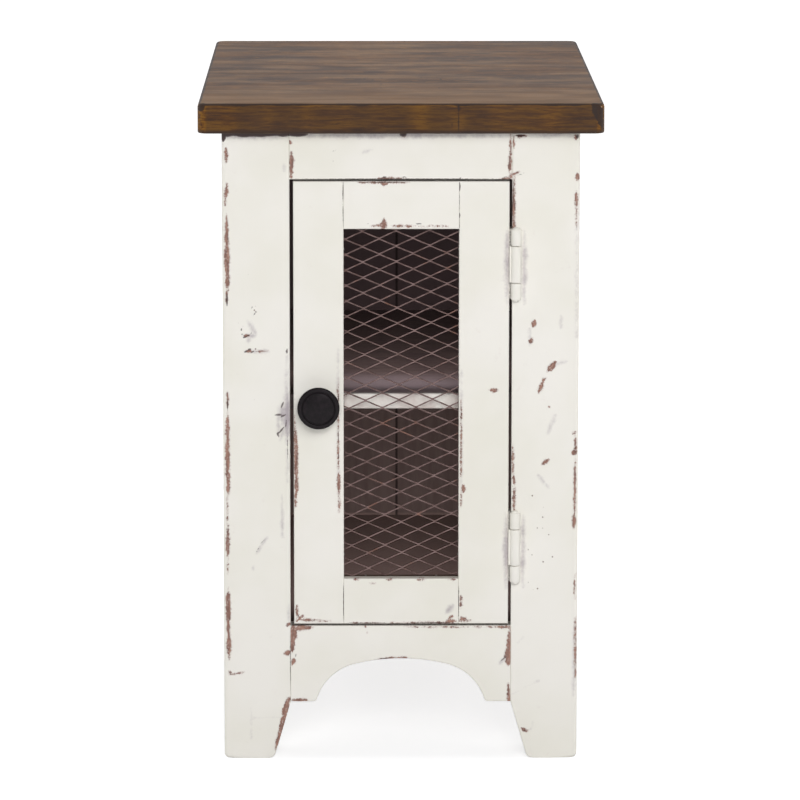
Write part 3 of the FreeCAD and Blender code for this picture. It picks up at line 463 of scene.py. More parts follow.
def whole_paint(count):
    """The wear of so many points of a piece whose paint is whole."""
    wear = {key: np.full(count, WHOLE) for key in ("worn", "smudge_and_shadow", "grime_and_shade")}
    return {**wear, "pitted": np.zeros(count)}


def inside_marks(marks, across, up):
    """Millimetres inside the nearest mark at each point, below 0 outside them all.

    A mark is (across, up, half its width, half its length, lean from upright in degrees).
    """
    deepest = np.full(len(across), WHOLE)
    for place_x, place_z, half_width, half_length, lean in marks:
        dx, dz = across - place_x, up - place_z
        slope = math.radians(lean)
        along = np.abs(dx * math.sin(slope) + dz * math.cos(slope)) / half_length
        aside = np.abs(dx * math.cos(slope) - dz * math.sin(slope))
        swell = np.minimum(half_width * (1 - along ** 2), (1 - along) * half_length)
        deepest = np.maximum(deepest, swell - aside)
    return deepest


# Places on the front where the paint is rubbed through, by board.
RUBBED = {
    "front_leg_left": [
        (-157.2, 556.5, 1.6, 7, 0), (-157.7, 521, 1.7, 10.5, 6),
        (-157.2, 482, 1.6, 22, 0), (-157.1, 463, 2.3, 21, 0), (-156.6, 444, 2.0, 11, 0),
        (-157.4, 427, 0.8, 6, 0), (-157.0, 333, 0.9, 8, 0), (-137.5, 378, 1.1, 3.4, 88),
        (-126, 378, 0.5, 6, 88), (-139.5, 392, 1.2, 3.0, 80),
        (-157.3, 305, 1.6, 18, 0), (-157.5, 282, 1.9, 32, 0), (-156.9, 258, 1.7, 15, 0),
        (-157.7, 232, 0.7, 14, 0), (-157.6, 203, 1.6, 20, 0), (-157.7, 178, 0.6, 6, 0),
        (-157.4, 140, 2.1, 20, 0), (-157.2, 121, 1.5, 8, 0), (-157.0, 106, 1.9, 14, 0),
        (-156.4, 80.5, 1.4, 2.6, 0), (-150, 79.5, 0.35, 8, 80),
        (-102.5, 125, 1.4, 3, 60), (-103.6, 98.8, 2.6, 3.6, 84), (-103.5, 53.5, 1.8, 5, 30),
        (-105.5, 46, 2.7, 9, 16), (-108, 34, 2.3, 14, 16), (-111.6, 20, 1.7, 13, 16),
    ],
    "front_top_rail": [
        (-99.6, 567.8, 1.5, 2.2, 0), (-98.6, 551, 2.1, 9, 0), (-98.9, 541, 1.2, 7, 0),
        (98.6, 563, 1.0, 15, 0), (98.2, 549, 1.7, 9, 2), (99.4, 539, 0.8, 8, 0),
        (-12, 535.6, 0.7, 9, 90), (0, 535.4, 0.5, 5, 90), (2, 573.4, 0.7, 2.4, 90),
        (94, 535.3, 0.7, 6, 84),
    ],
    "front_leg_right": [
        (101.7, 512, 1.2, 27, 1), (102.4, 505, 0.8, 16, 1), (103.4, 540.0, 0.7, 4.6, 65),
        (101.6, 568, 0.9, 6, 0), (108.5, 573.8, 1.2, 6, 90), (157.5, 572.5, 1.6, 3.0, 0),
        (106.4, 572, 0.7, 0.9, 0),
        (120.2, 402.9, 1.9, 4.4, 18), (118.0, 387.2, 1.5, 3.6, 22),
        (136.8, 363.6, 2.5, 6.6, 38), (130.2, 352.0, 1.3, 3.0, 40), (127.3, 344.8, 1.7, 6.4, 24),
        (134.4, 326.6, 0.8, 1.5, 60), (131.6, 276.0, 1.7, 4.6, 52),
        (102.0, 276, 1.0, 17, 0), (102.6, 262, 1.1, 7, -8), (103.2, 241.5, 1.3, 11.5, 2),
        (159.0, 536.5, 1.6, 4.0, 0), (158.0, 516, 1.5, 9, 0), (158.2, 503, 0.6, 11, 0),
        (158.2, 302.8, 1.2, 2.6, 60),
        (158.8, 292, 1.1, 8, 0), (157.6, 284.5, 2.2, 3.6, 60), (158.6, 259, 1.0, 20, 0),
        (158.4, 240, 1.0, 12, 0), (157.8, 220.5, 1.8, 7, 0), (158.9, 160, 0.6, 12, 0),
        (159.4, 118, 1.0, 14, 0), (159.6, 97, 1.0, 17, 0), (159.9, 79, 0.8, 5, 0),
        (113.0, 26.4, 1.5, 3.4, -50), (115.6, 25.0, 1.0, 2.0, 30),
    ],
    "door_stile_left": [
        (-96.4, 296, 0.7, 24, 0), (-95.0, 275, 1.7, 33, 0), (-94.9, 256, 1.6, 16, 0),
        (-95.8, 240, 0.8, 9, 0), (-56.9, 340, 0.6, 14, 0), (-56.9, 310, 0.6, 12, 0),
        (-56.8, 288, 0.8, 12, 0), (-56.8, 273, 0.7, 6, 0), (-56.3, 255, 1.6, 13, 0),
        (-56.0, 238, 0.9, 9, 0), (-94.5, 136, 1.0, 8, 0), (-92, 131.0, 1.2, 5, 50),
        (-83, 129.4, 0.9, 13, 92), (-71, 128.4, 0.5, 8, 90),
    ],
    "door_rail_top": [
        (-15, 531.6, 0.5, 24, 90), (-15, 530.6, 1.5, 3.2, 90), (-15.8, 494, 2.4, 5.6, 3),
        (-20, 492.3, 0.9, 8, 90), (-3, 492.2, 0.9, 6, 90), (8, 492.2, 0.9, 6, 90),
        (30, 492, 0.3, 14, 90),
    ],
    "door_stile_right": [
        (84.6, 342.0, 1.9, 4.4, 90), (54.7, 318, 0.5, 16, 0), (54.9, 290, 0.7, 20, 0),
        (54.8, 270, 0.6, 8, 0), (57.0, 251.3, 1.4, 4.6, 0), (54.9, 241.5, 0.6, 7, 0),
        (54.9, 146, 1.0, 6, 0), (56.6, 130.0, 1.8, 4.0, 60), (60.5, 128.6, 0.7, 5, 84),
    ],
    "door_rail_bottom": [
        (45.6, 131.8, 1.4, 3.4, 50), (46.2, 128.6, 1.4, 5.5, 94), (33, 127.0, 0.8, 17, 92),
        (5, 126.6, 0.3, 16, 90), (-30, 126.6, 0.3, 14, 90),
        (-40.5, 167.0, 0.6, 3, 90), (-10, 167.0, 0.6, 3.4, 90), (19, 167.0, 0.6, 4, 90),
        (47, 167.0, 0.6, 4, 90), (-26, 163.6, 0.35, 3.4, 96),
    ],
    "front_apron": [
        (-91, 122.0, 2.2, 11.5, 88), (-98.2, 117, 3.6, 9, 0), (-99.2, 107, 2.4, 8, 0),
        (-98.2, 90.4, 2.2, 4.0, 20), (-92, 54.6, 1.3, 7.5, 90), (48, 122.7, 0.2, 46, 90),
        (-30.6, 117.6, 0.5, 0.9, 0), (-32, 123.0, 0.4, 0.9, 0),
        (94, 122.6, 1.0, 7, 92), (99.3, 109, 1.9, 15, 1), (98.2, 95.5, 3.2, 10, 0),
        (98.8, 61, 1.2, 10, 0), (99, 55.5, 1.5, 3, 0), (-7, 93.6, 0.9, 14, 88),
    ],
}

# Grey smudges in the paint, by board, and painted shadow: the long marks just under the top's overhang and the
# ones beside the hinge barrels.
SMUDGE_AND_SHADOW_MARKS = {
    "front_leg_left": [
        (-103, 318, 4.4, 26, 0), (-107.5, 321, 3.0, 11, 0), (-107, 303, 2.2, 9, 20),
        (-111, 313, 0.8, 15, 0), (-103, 272, 0.8, 16, 0), (-130, 378, 1.4, 11, 90),
        (-137, 392, 1.6, 6, 90),
        (-102.4, 136, 0.9, 8, 0), (-103.5, 350, 0.6, 28, 0), (-135, 400, 2.4, 8, -30),
        (-138, 389, 1.6, 3, 0), (-137, 33, -0.5, 15, 0), (-122, 38, -0.8, 15, 88),
        # (-130, 573.6) is painted shadow under the top's overhang.
        (-126.5, 199, 0.7, 9.4, 34), (-134.5, 178, 0.9, 2.0, 0), (-130, 573.6, 2.4, 34, 90),
        (-108, 226, 1.0, 20, 0), (-105, 545, 1.0, 4, 0),
    ],
    "front_leg_right": [
        (143, 366.5, 1.2, 8, 78), (137, 310, 1.0, 10, 22), (130, 258, 0.8, 8, -40),
        (159, 95, 1.0, 30, 0), (158.4, 66, 1.4, 8, 0), (117, 391, 0.6, 8, 0),
        (106, 107, -0.9, 9, 45), (114, 66, -1.0, 14, 62), (159.2, 450, 0.5, 60, 0),
        # (111.4, 455) and (111.4, 193) are painted shadow beside the hinge barrels, (132, 574.6) painted shadow
        # under the top's overhang.
        (111.4, 455, 2.3, 34, 0), (111.4, 193, 2.3, 34, 0), (132, 574.6, 1.4, 34, 90),
        (145, 405, 0.6, 6, 0), (120, 30, -0.4, 4, 20),
    ],
    "door_stile_left": [(-57, 320, 0.5, 60, 0)],
    # (96.2, 455) and (96.2, 193) are painted shadow beside the hinge barrels.
    "door_stile_right": [(55, 300, 0.5, 60, 0), (96.2, 455, 2.8, 36, 0), (96.2, 193, 2.8, 36, 0)],
    "door_rail_bottom": [(45, 140, 2.2, 6, 40)],
    "front_apron": [(93.5, 91.5, 1.6, 5, 40), (-96, 53.8, 0.8, 8, 90)],
    # (0, 574.4) is painted shadow under the top's overhang.
    "front_top_rail": [(0, 574.4, 2.6, 112, 90), (-30, 560, 0.8, 5, 70)],
}

# Dark grime in seams and scratches, by board, and painted shade: the marks along the top of the front, just under
# the top's overhang.
GRIME_AND_SHADE_MARKS = {
    "front_leg_left": [
        # The first six marks, just under the top's overhang, are painted shade.
        (-131, 575.6, 2.6, 36, 90), (-159.8, 573.2, 2.6, 5.4, 0), (-141, 574.2, 1.7, 9, 90),
        (-126, 574.2, 1.5, 8, 90), (-106, 575.2, 2.2, 9, 90), (-157, 575.0, 2.2, 8, 90),
        (-157.2, 425, 0.9, 7, 0), (-157.0, 329, 0.8, 7, 0),
        (-138, 448, 0.5, 0.7, 0), (-134.6, 448, 0.5, 0.7, 0), (-143.4, 435, 0.5, 0.7, 0),
        (-138.4, 435, 0.6, 0.8, 0), (-134.4, 434, 0.4, 0.6, 0), (-136.8, 423, 0.4, 0.6, 0),
        (-134.6, 418, 0.6, 1.6, 20), (-131.6, 419, 0.5, 1.0, 0), (-132.4, 412, 0.8, 1.4, 60),
        (-134.6, 410.6, 0.5, 0.8, 0), (-130.4, 414.6, 0.4, 0.8, 0), (-146.6, 404, 0.5, 0.9, 0),
        (-144.4, 397.6, 0.7, 1.8, 20), (-142.4, 400.6, 0.6, 1.2, 0), (-143.4, 393.6, 0.7, 1.6, 60),
        (-141.6, 390.6, 0.9, 2.2, 80), (-137.8, 392.4, 0.8, 2.4, 70), (-135.0, 394.8, 0.5, 1.4, 0),
        (-133.4, 391.4, 0.5, 1.2, 0), (-139.6, 387.4, 0.4, 1.6, 0), (-140.4, 377.6, 0.9, 2.4, 60),
        (-137.0, 379.6, 1.0, 2.2, 80), (-134.2, 377.4, 0.7, 2.0, 50), (-129.6, 377.8, 0.35, 3, 86),
        (-124.6, 378.2, 0.5, 2.0, 80), (-121.0, 377.0, 0.4, 1.4, 60), (-103.3, 378, 0.9, 3.6, 0),
        (-103.4, 358, 0.3, 14, 0), (-103.4, 334, 0.35, 8, 0), (-133.0, 333.6, 0.4, 1.2, 60),
        (-107.5, 328.5, 0.9, 4.6, 22), (-111.0, 319.6, 1.0, 4.6, 88), (-106.5, 318.6, 0.8, 4.0, 60),
        (-108.8, 305.0, 0.9, 5.2, 40), (-111.6, 301.2, 1.0, 3.4, -20), (-104.2, 311, 0.5, 9, 6),
        (-103.0, 290, 0.4, 12, 0), (-129.9, 195.6, 0.35, 4.6, 28), (-124.8, 203.2, 0.35, 4.6, 48),
        (-134.5, 177.9, 0.6, 0.8, 0), (-100.9, 90, 0.35, 30, 0),
    ],
    "front_top_rail": [
        (-60, 560.4, 0.3, 2.8, 66), (-14.6, 536.6, 0.8, 2.0, 90), (3, 536.4, 0.7, 3.0, 90),
        (-1, 534.9, 0.45, 99, 90), (53.0, 535.4, 0.5, 2, 60), (-50, 546, 0.3, 5, 0),
        # (-93, 575.2) and (2, 575.0) are painted shade under the top's overhang.
        (-61, 551.4, 0.4, 0.7, 0), (45.2, 556.6, 0.6, 0.8, 0), (-93, 575.2, 2.3, 11, 90),
        (2, 575.0, 2.0, 4.0, 90), (93.0, 536.2, 0.5, 5.0, 66),
    ],
    "front_leg_right": [
        # (107.4, 574.0) and (158.8, 573.2) are painted shade under the top's overhang.
        (107.4, 574.0, 1.2, 5.0, 90), (104.6, 569.6, 0.6, 0.9, 0), (132, 572.6, 0.4, 1.6, 0),
        (107.5, 538.8, 0.5, 4.8, 66), (101.4, 520, 0.4, 22, 2), (158.8, 573.2, 1.5, 2.6, 0),
        (158.9, 492, 0.4, 10, 0), (102.0, 251, 0.4, 9, 0), (138.2, 366.6, 0.5, 4.8, 66),
        (158.0, 285, 0.6, 3, 0), (113.8, 25.4, 0.6, 1.6, -50),
    ],
    "door_stile_left": [
        (-52.2, 523, 0.55, 9.4, 1), (-52.0, 500, 0.4, 14, -2), (-91.6, 430.6, 0.6, 0.8, 0),
        (-56.6, 335, 0.5, 4, 0), (-56.8, 322, 0.4, 6, 0), (-56.9, 300, 0.55, 11, 0),
        (-56.6, 281, 0.5, 4, 0), (-95.8, 330, 0.35, 26, 0), (-51.9, 146, 0.7, 20, 0),
        (-87, 130.0, 0.45, 9, 90), (-93.6, 133.0, 0.45, 4, 30),
    ],
    "door_stile_right": [
        (52.9, 528, 0.9, 4.6, 0), (52.7, 514, 0.35, 10, 0), (52.8, 502, 0.9, 2.6, 0),
        (52.9, 493, 0.3, 9, 0), (54.8, 320, 0.35, 12, 0), (54.7, 284, 0.35, 9, 0),
        (53.0, 146, 0.4, 19, 0),
    ],
    "door_rail_top": [
        (-14, 531.8, 0.4, 26, 90), (-30, 494.6, 0.5, 3.2, 90), (16, 494.2, 0.6, 3.6, 90),
    ],
    "door_rail_bottom": [(30, 126.8, 0.5, 24, 90), (-30, 126.8, 0.35, 22, 90)],
    "front_apron": [(-96, 96, 0.5, 4, 20), (94, 93, 0.7, 4.6, 50), (-15, 93.4, 0.5, 6, 86)],
}

# Places that worms have pitted: (across, up, half a width, half a height, share of pits).
PITTED = {
    "front_leg_left": [(-131, 415, 8, 5, 0.5), (-137, 396, 10, 7, 0.5), (-128, 379, 12, 4, 0.5)],
    "front_leg_right": [(126, 193, 14, 50, 0.42), (121, 235, 9, 14, 0.35)],
    "front_top_rail": [(-68, 552, 8, 8, 0.15), (60, 556, 5, 5, 0.2)],
    "front_apron": [(-32, 118, 5, 7, 0.2)],
}


# ---- Boards --------------------------------------------------------------------------------

EASE_STEPS = 3
WALL_ROW = 3.0


def inset(outline, radii):
    """How far each corner of an outline moves as its sides move inwards by their radii."""
    sides = np.roll(outline, -1, 0) - outline
    sides /= np.linalg.norm(sides, axis=1)[:, None]
    x, y = outline.T
    turn = np.sign(np.sum(x * np.roll(y, -1) - np.roll(x, -1) * y))
    after = turn * np.stack([-sides[:, 1], sides[:, 0]], 1)
    before, reach_after, reach_before = np.roll(after, 1, 0), radii, np.roll(radii, 1)
    cross = before[:, 0] * after[:, 1] - before[:, 1] * after[:, 0]
    level = np.abs(cross) < 0.001
    safe = np.where(level, 1.0, cross)
    met = np.stack([reach_before * after[:, 1] - reach_after * before[:, 1],
                    reach_after * before[:, 0] - reach_before * after[:, 0]], 1) / safe[:, None]
    straight = (before + after) * ((reach_before + reach_after) / 4)[:, None]
    return np.where(level[:, None], straight, met)


def on_face(face, flat, depth):
    """Points on a board's outer face, or that deep below it, in the table's own place."""
    axis, level = face
    inwards = -1.0 if level > 0 else 1.0
    raised = level + inwards * depth
    x, y = flat.T
    columns = {"X": (raised, x, y), "Y": (x, raised, y), "Z": (x, y, raised)}[axis]
    return np.stack(np.broadcast_arrays(*columns), 1)


def ringed(first, second):
    """The faces between two closed rows of points."""
    return np.stack([first, np.roll(first, -1), np.roll(second, -1), second], 1)


def board_mesh(face, low, high, eased, thickness, row, under=0.0, rebate=None):
    """A board between two edge lines, with its outer edges eased.

    low and high are the same number of points on two opposite edges, and eased has the radii
    of the low edge, the end, the high edge and the start. Returns points, faces, the faces of
    the back, and how far each point is beyond the line where an eased edge begins.
    """
    low, high = np.array(low, float), np.array(high, float)
    count = len(low)
    outline = np.concatenate([low, high[::-1]])
    radii = np.concatenate([np.full(count - 1, eased[0]), [eased[1]],
                            np.full(count - 1, eased[2]), [eased[3]]])
    shift = inset(outline, radii)
    low_in, high_in = low + shift[:count], high + shift[count:][::-1]
    spans = np.linalg.norm(high_in - low_in, axis=1)
    rows = max(2, round(spans.max() / row))
    share = np.linspace(0, 1, rows + 1)
    grid = low_in[:, None] + (high_in - low_in)[:, None] * share[None, :, None]

    def border(values):
        return np.concatenate([values[:, 0], values[-1, 1:-1], values[::-1, -1],
                               values[0, -2:0:-1]])

    def side_out(index, radius, corner, other):
        """Moves the points of an end from its eased line back out to the edge."""
        along = grid[index, -1] - grid[index, 0]
        along /= np.linalg.norm(along)
        out = np.array([along[1], -along[0]])
        if out @ (corner - other) < 0:
            out = -out
        return grid[index, 1:-1] + out * radius

    inner = border(grid)
    outer = np.concatenate([low, side_out(-1, eased[1], low[-1], low[0]), high[::-1],
                            side_out(0, eased[3], low[0], low[-1])[::-1]])
    move = inner - outer
    end_points = rows - 1
    depth_of = np.concatenate([np.full(count, eased[0]), np.full(end_points, eased[1]),
                               np.full(count, eased[2]), np.full(end_points, eased[3])])
    for corner, pair in ((0, (3, 0)), (count - 1, (0, 1)), (count + end_points, (1, 2)),
                         (2 * count + end_points - 1, (2, 3))):
        depth_of[corner] = max(eased[pair[0]], eased[pair[1]])

    points = [grid.reshape(-1, 2)]
    rim = np.full(grid.shape[:2], FAR)
    for radius, away in ((eased[0], share * spans[:, None]),
                         (eased[1], np.linalg.norm(grid - grid[-1:], axis=2)),
                         (eased[2], (1 - share) * spans[:, None]),
                         (eased[3], np.linalg.norm(grid - grid[:1], axis=2))):
        if radius:
            rim = np.minimum(rim, away)
    rims = [-rim.ravel()]
    depths = [np.zeros(grid.shape[0] * grid.shape[1])]
    faces = []
    cells = np.arange(count * (rows + 1)).reshape(count, rows + 1)
    faces.append(np.stack([cells[:-1, :-1], cells[1:, :-1], cells[1:, 1:], cells[:-1, 1:]],
                          -1).reshape(-1, 4))
    last = border(cells)
    total = cells.size
    away = np.where(depth_of > 0, 0.0, FAR)

    def add_row(flat, depth, rim_now):
        nonlocal last, total
        points.append(flat)
        depths.append(depth)
        rims.append(rim_now)
        fresh = np.arange(total, total + len(flat))
        faces.append(ringed(last, fresh))
        last, total = fresh, total + len(flat)

    for step in range(EASE_STEPS - 1, -1, -1):
        angle = math.pi / 2 * step / EASE_STEPS
        add_row(outer + move * (1 - math.cos(angle)), depth_of * (1 - math.sin(angle)),
                away + depth_of * (math.pi / 2 - angle))
    wall_end = (rebate[0] if rebate else thickness) - under
    wall_rows = max(1, round(wall_end / WALL_ROW))
    for step in range(1, wall_rows + 1):
        depth = depth_of + (wall_end - depth_of) * step / wall_rows
        add_row(outer, depth, away + depth_of * 0.57 + depth)
    if under:
        for step in range(1, EASE_STEPS + 1):
            angle = math.pi / 2 * step / EASE_STEPS
            slide = move / np.maximum(depth_of, 0.001)[:, None] * under
            add_row(outer + slide * (1 - math.cos(angle)),
                    np.full(len(outer), wall_end + under * math.sin(angle)), away + 9.0)
    if rebate:
        depth, width, side, start, end = rebate
        step_in = np.zeros_like(outer)
        line = {"low": slice(0, count), "high": slice(count + end_points, 2 * count + end_points)}
        chosen = outer[line[side]]
        along = 0 if abs(low[-1, 0] - low[0, 0]) > abs(low[-1, 1] - low[0, 1]) else 1
        held = (chosen[:, along] > start) & (chosen[:, along] < end)
        middle = outer.mean(0)
        towards = np.sign(middle[1 - along] - chosen[:, 1 - along])
        step_in[line[side], 1 - along] = np.where(held, towards * width, 0.0)
        add_row(outer + step_in, np.full(len(outer), depth), away + 9.0)
        add_row(outer + step_in, np.full(len(outer), thickness), away + 9.0)

    low_back, high_back = last[:count], last[count + end_points:2 * count + end_points][::-1]
    end_back = last[count:count + end_points]
    start_back = last[2 * count + end_points:]
    backs = []
    for i in range(count - 1):
        back = [low_back[i], low_back[i + 1]]
        if i == count - 2:
            back += list(end_back)
        back += [high_back[i + 1], high_back[i]]
        if i == 0:
            back += list(start_back)
        backs.append([int(p) for p in back])
    flat, deep = np.concatenate(points), np.concatenate(depths)
    quads = np.concatenate(faces)
    return on_face(face, flat, deep), quads.tolist(), backs, np.concatenate(rims), deep


def carry(mesh, values):
    """Writes numbers on a mesh's points, by name."""
    for key, value in values.items():
        mesh.attributes.new(key, "FLOAT", "POINT").data.foreach_set("value", value)


def welded(name, points, faces, values, inside=()):
    """A mesh object in metres, with its doubled points merged and its faces outwards."""
    mesh = bpy.data.meshes.new(name)
    mesh.from_pydata((points * MM).tolist(), [], faces)
    carry(mesh, values)
    if len(inside):
        mesh.polygons.foreach_set("material_index", np.array(inside, np.int32))
    work = bmesh.new()
    work.from_mesh(mesh)
    bmesh.ops.remove_doubles(work, verts=work.verts, dist=0.002 * MM)
    bmesh.ops.dissolve_degenerate(work, edges=work.edges, dist=0.001 * MM)
    bmesh.ops.recalc_face_normals(work, faces=work.faces)
    if work.calc_volume(signed=True) < 0:
        bmesh.ops.reverse_faces(work, faces=work.faces)
    work.to_mesh(mesh)
    work.free()
    mesh.polygons.foreach_set("use_smooth", [True] * len(mesh.polygons))
    mesh.set_sharp_from_angle(angle=math.radians(42))
    made = bpy.data.objects.new(name, mesh)
    bpy.context.scene.collection.objects.link(made)
    return made


def fitted(piece, body, slot, *nodes, finish=None):
    """Gives a piece its finish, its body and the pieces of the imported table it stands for."""
    for material in [FINISHES[slot]] if finish is None else finish:
        piece.data.materials.append(material)
    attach(piece, body)
    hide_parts(*nodes)


# The paint is thin along a line beside each edge, and grime with painted shade darkens the walls of the seams:
# their places from the middle outwards, above the tapered feet, below and above the door, and inwards from the
# face.
THIN_LINE, SEAM_GRIME_AND_SHADE = -1.0, 0.06
SEAM_ACROSS, SEAM_FOOT, SEAM_BELOW, SEAM_ABOVE = (95.0, 102.0), 53.5, (123.0, 127.0), (531.0, 535.5)
SEAM_DEPTH = (0.9, 18.0)


def in_seams(points, deep):
    """True on the walls of the seams around the door and between the front's boards."""
    x, z = np.abs(points[:, 0]), points[:, 2]

    def within(values, span):
        return (values > span[0]) & (values < span[1])

    upright_seam = within(x, SEAM_ACROSS) & (z > SEAM_FOOT)
    level_seam = (x < SEAM_ACROSS[1]) & (within(z, SEAM_BELOW) | within(z, SEAM_ABOVE))
    return within(deep, SEAM_DEPTH) & (upright_seam | level_seam)


def board(node, face, low, high, eased, row, seed, thickness=20.0, body="cabinet", wear=0.0,
          stained_above=None, **more):
    """A painted board with its rubbed places, grey smudges, grime, pits, painted shadow and painted shade, in
    place of its plain node.
    """
    points, faces, backs, rim, deep = board_mesh(face, low, high, eased, thickness, row, **more)
    axis = face[0]
    across = points[:, 1] if axis == "X" else points[:, 0]
    up = points[:, 2]
    front = deep < 6.0
    reach = 9.0 * (lumps(points, 46.0, seed) - 0.66) + 3.0 * (lumps(points, 11.0, seed + 7) - 0.5)
    worn = np.maximum(wear * reach - np.where(wear > 0, np.abs(rim), FAR), WHOLE)

    def marked(places):
        return np.where(front, inside_marks(places.get(node, []), across, up), WHOLE)

    worn = np.maximum(worn, marked(RUBBED))
    smudge_and_shadow, grime_and_shade = marked(SMUDGE_AND_SHADOW_MARKS), marked(GRIME_AND_SHADE_MARKS)
    if wear:
        smudge_and_shadow = np.maximum(smudge_and_shadow, 7.0 * (lumps(points, 60.0, seed + 20) - 0.86)
                             + 2.0 * (lumps(points, 9.0, seed + 3) - 0.7))
    # Painted shade in the crease where the cabinet floor meets the back panel.
    if node == "rear_apron":
        grime_and_shade = np.where((deep > 17.0) & (up > CABINET_FLOOR - 1.0), 0.45, grime_and_shade)
    if body == "door" or node.startswith("front"):
        worn = np.maximum(worn, THIN_LINE - np.abs(rim - 3.6))
        # Painted shade, with grime, on the walls of the seams.
        grime_and_shade = np.where(in_seams(points, deep), np.maximum(grime_and_shade, SEAM_GRIME_AND_SHADE), grime_and_shade)
    pitted = np.zeros(len(points))
    for x, z, half_width, half_height, share in PITTED.get(node, []):
        near = 1 - ((across - x) / half_width) ** 2 - ((up - z) / half_height) ** 2
        pitted = np.maximum(pitted, share * np.clip(near * 3, 0, 1) * front)
    indoors = [0] * len(faces) + [int(stained_above is not None
                                      and points[back, 2].mean() > stained_above)
                                  for back in backs]
    piece = welded(node + "_board", points, faces + backs,
                   {"worn": worn, "smudge_and_shadow": smudge_and_shadow, "grime_and_shade": grime_and_shade, "pitted": pitted}, indoors)
    finish = [FINISHES["painted_wood"], FINISHES["brown_interior"]]
    fitted(piece, body, "painted_wood", node,
           finish=finish if stained_above is not None else finish[:1])


def spaced(start, end, step, ease_start=0.0, ease_end=0.0, stops=()):
    """Places along an edge: its corners, and even steps between its eased ends."""
    first, last = start + ease_start, end - ease_end
    count = max(2, round((last - first) / step))
    middle = np.linspace(first, last, count + 1)[1:-1]
    for stop in stops:
        middle = np.delete(middle, np.argmin(np.abs(middle - stop)))
    return np.sort(np.concatenate([[start], middle, list(stops), [end]]))


def upright(node, face, outer, inner, bottom, top, eased, step, foot=None, stops=(),
            rounded=0.0, **more):
    """A board that stands up, from its outer edge line to its inner one, with a tapered foot."""
    heights = spaced(bottom, top, step, eased[3], eased[1],
                     stops=[*([TAPER_TOP] if foot is not None else []), *stops])
    if rounded:
        bend = bottom + rounded * (1 - np.cos(np.linspace(0, math.pi / 2, 7)))
        heights = np.concatenate([bend, heights[heights > bend[-1] + step / 2]])
    inner_line = np.full(len(heights), inner, float)
    if foot is not None:
        share = np.clip((heights - bottom) / (TAPER_TOP - bottom), 0, 1)
        inner_line = foot + (inner - foot) * share
    outer_line = np.full(len(heights), outer, float)
    if rounded:
        missing = np.clip(rounded - (heights - bottom), 0, rounded)
        drawn_in = rounded - np.sqrt(rounded ** 2 - missing ** 2)
        outer_line += np.sign(inner - outer) * drawn_in
        inner_line -= np.sign(inner - outer) * drawn_in
    low = np.stack([outer_line, heights], 1)
    high = np.stack([inner_line, heights], 1)
    board(node, face, low, high, eased, row=step, **more)


def rail(node, face, left, right, bottom, top, eased, step, **more):
    """A board that lies across, with straight edges."""
    places = spaced(left, right, step, eased[3], eased[1])
    low = np.stack([places, np.full(len(places), bottom, float)], 1)
    high = np.stack([places, np.full(len(places), top, float)], 1)
    board(node, face, low, high, eased, row=step, **more)


ARCH_RISE, ARCH_CROWN_DROP, ARCH_SHOULDER, ARCH_FOOT, ARCH_ROUND = 40.3, 18.4, 48.0, 23.3, 4.0


def arch_line(half_length, bottom, step):
    """The lower edge of an apron: flat feet, and a three-centred arch between them."""
    half = half_length - ARCH_FOOT
    radius = (half ** 2 + ARCH_CROWN_DROP ** 2) / (2 * ARCH_CROWN_DROP)
    level, arm = radius - ARCH_RISE, radius - ARCH_SHOULDER
    reach = math.hypot(half, level)
    turn = math.atan2(half, level) - math.acos((arm ** 2 + reach ** 2 - ARCH_SHOULDER ** 2)
                                               / (2 * arm * reach))
    centre = np.array([arm * math.sin(turn), arm * math.cos(turn) - level])
    last = math.atan2(half - centre[0], -centre[1])
    lean = math.pi / 2 - last
    tangent = np.array([math.sin(lean), -math.cos(lean)])
    cut = ARCH_ROUND * math.tan((math.pi / 2 - lean) / 2)
    stop = last - cut / ARCH_SHOULDER
    crown = [(radius * math.sin(a), radius * math.cos(a) - level)
             for a in np.linspace(0, turn, max(3, round(radius * turn / step)))]
    shoulder = [tuple(centre + ARCH_SHOULDER * np.array([math.sin(a), math.cos(a)]))
                for a in np.linspace(turn, stop, round(ARCH_SHOULDER * (stop - turn) / step))[1:]]
    begin, end = np.array(shoulder[-1]), np.array([half + cut, 0.0])
    corner = begin + tangent * cut
    round_off = [tuple((1 - t) ** 2 * begin + 2 * t * (1 - t) * corner + t ** 2 * end)
                 for t in np.linspace(0, 1, 6)[1:]]
    foot = [(x, 0.0) for x in np.linspace(half + cut, half_length, 14)[1:]]
    right = np.array(crown + shoulder + round_off + foot)
    left = right[:0:-1] * (-1, 1)
    return np.concatenate([left, right]) + (0, bottom)


def apron(node, face, eased, step, **more):
    """A board under the cabinet with an arch along its lower edge."""
    low_corner, high_corner = box_mm(node)
    across = 1 if face[0] == "X" else 0
    low = arch_line(high_corner[across], low_corner[2], step)
    high = np.stack([low[:, 0], np.full(len(low), high_corner[2])], 1)
    board(node, face, low, high, eased, row=step, **more)


# Radii of eased edges, steps between rows of points, thicknesses of boards, and the feet.
SOFT_CORNER, FOOT_EASE, HAND_SANDED, JOINT, NONE = 3.0, 2.8, 1.1, 0.35, 0.0
FINE, MEDIUM, COARSE = 1.3, 2.2, 2.4
BOARD, BEHIND_PANEL, REAR_LEG = 20.0, 17.5, 19.9
FLOOR_UNDERSIDE, TAPER_TOP, FOOT_ROUND = 112.0, 53.0, 4.6
LEG_FOOT_EDGE, STILE_FOOT_EDGE = 116.0, 238.5
SIDES = ((-1, "left"), (1, "right"))


def placed(node, axis, side):
    """A board's lowest and highest corner, and its outer face on one side of the table."""
    low, high = box_mm(node)
    return low, high, (axis, (low if side < 0 else high)["XYZ".index(axis)])


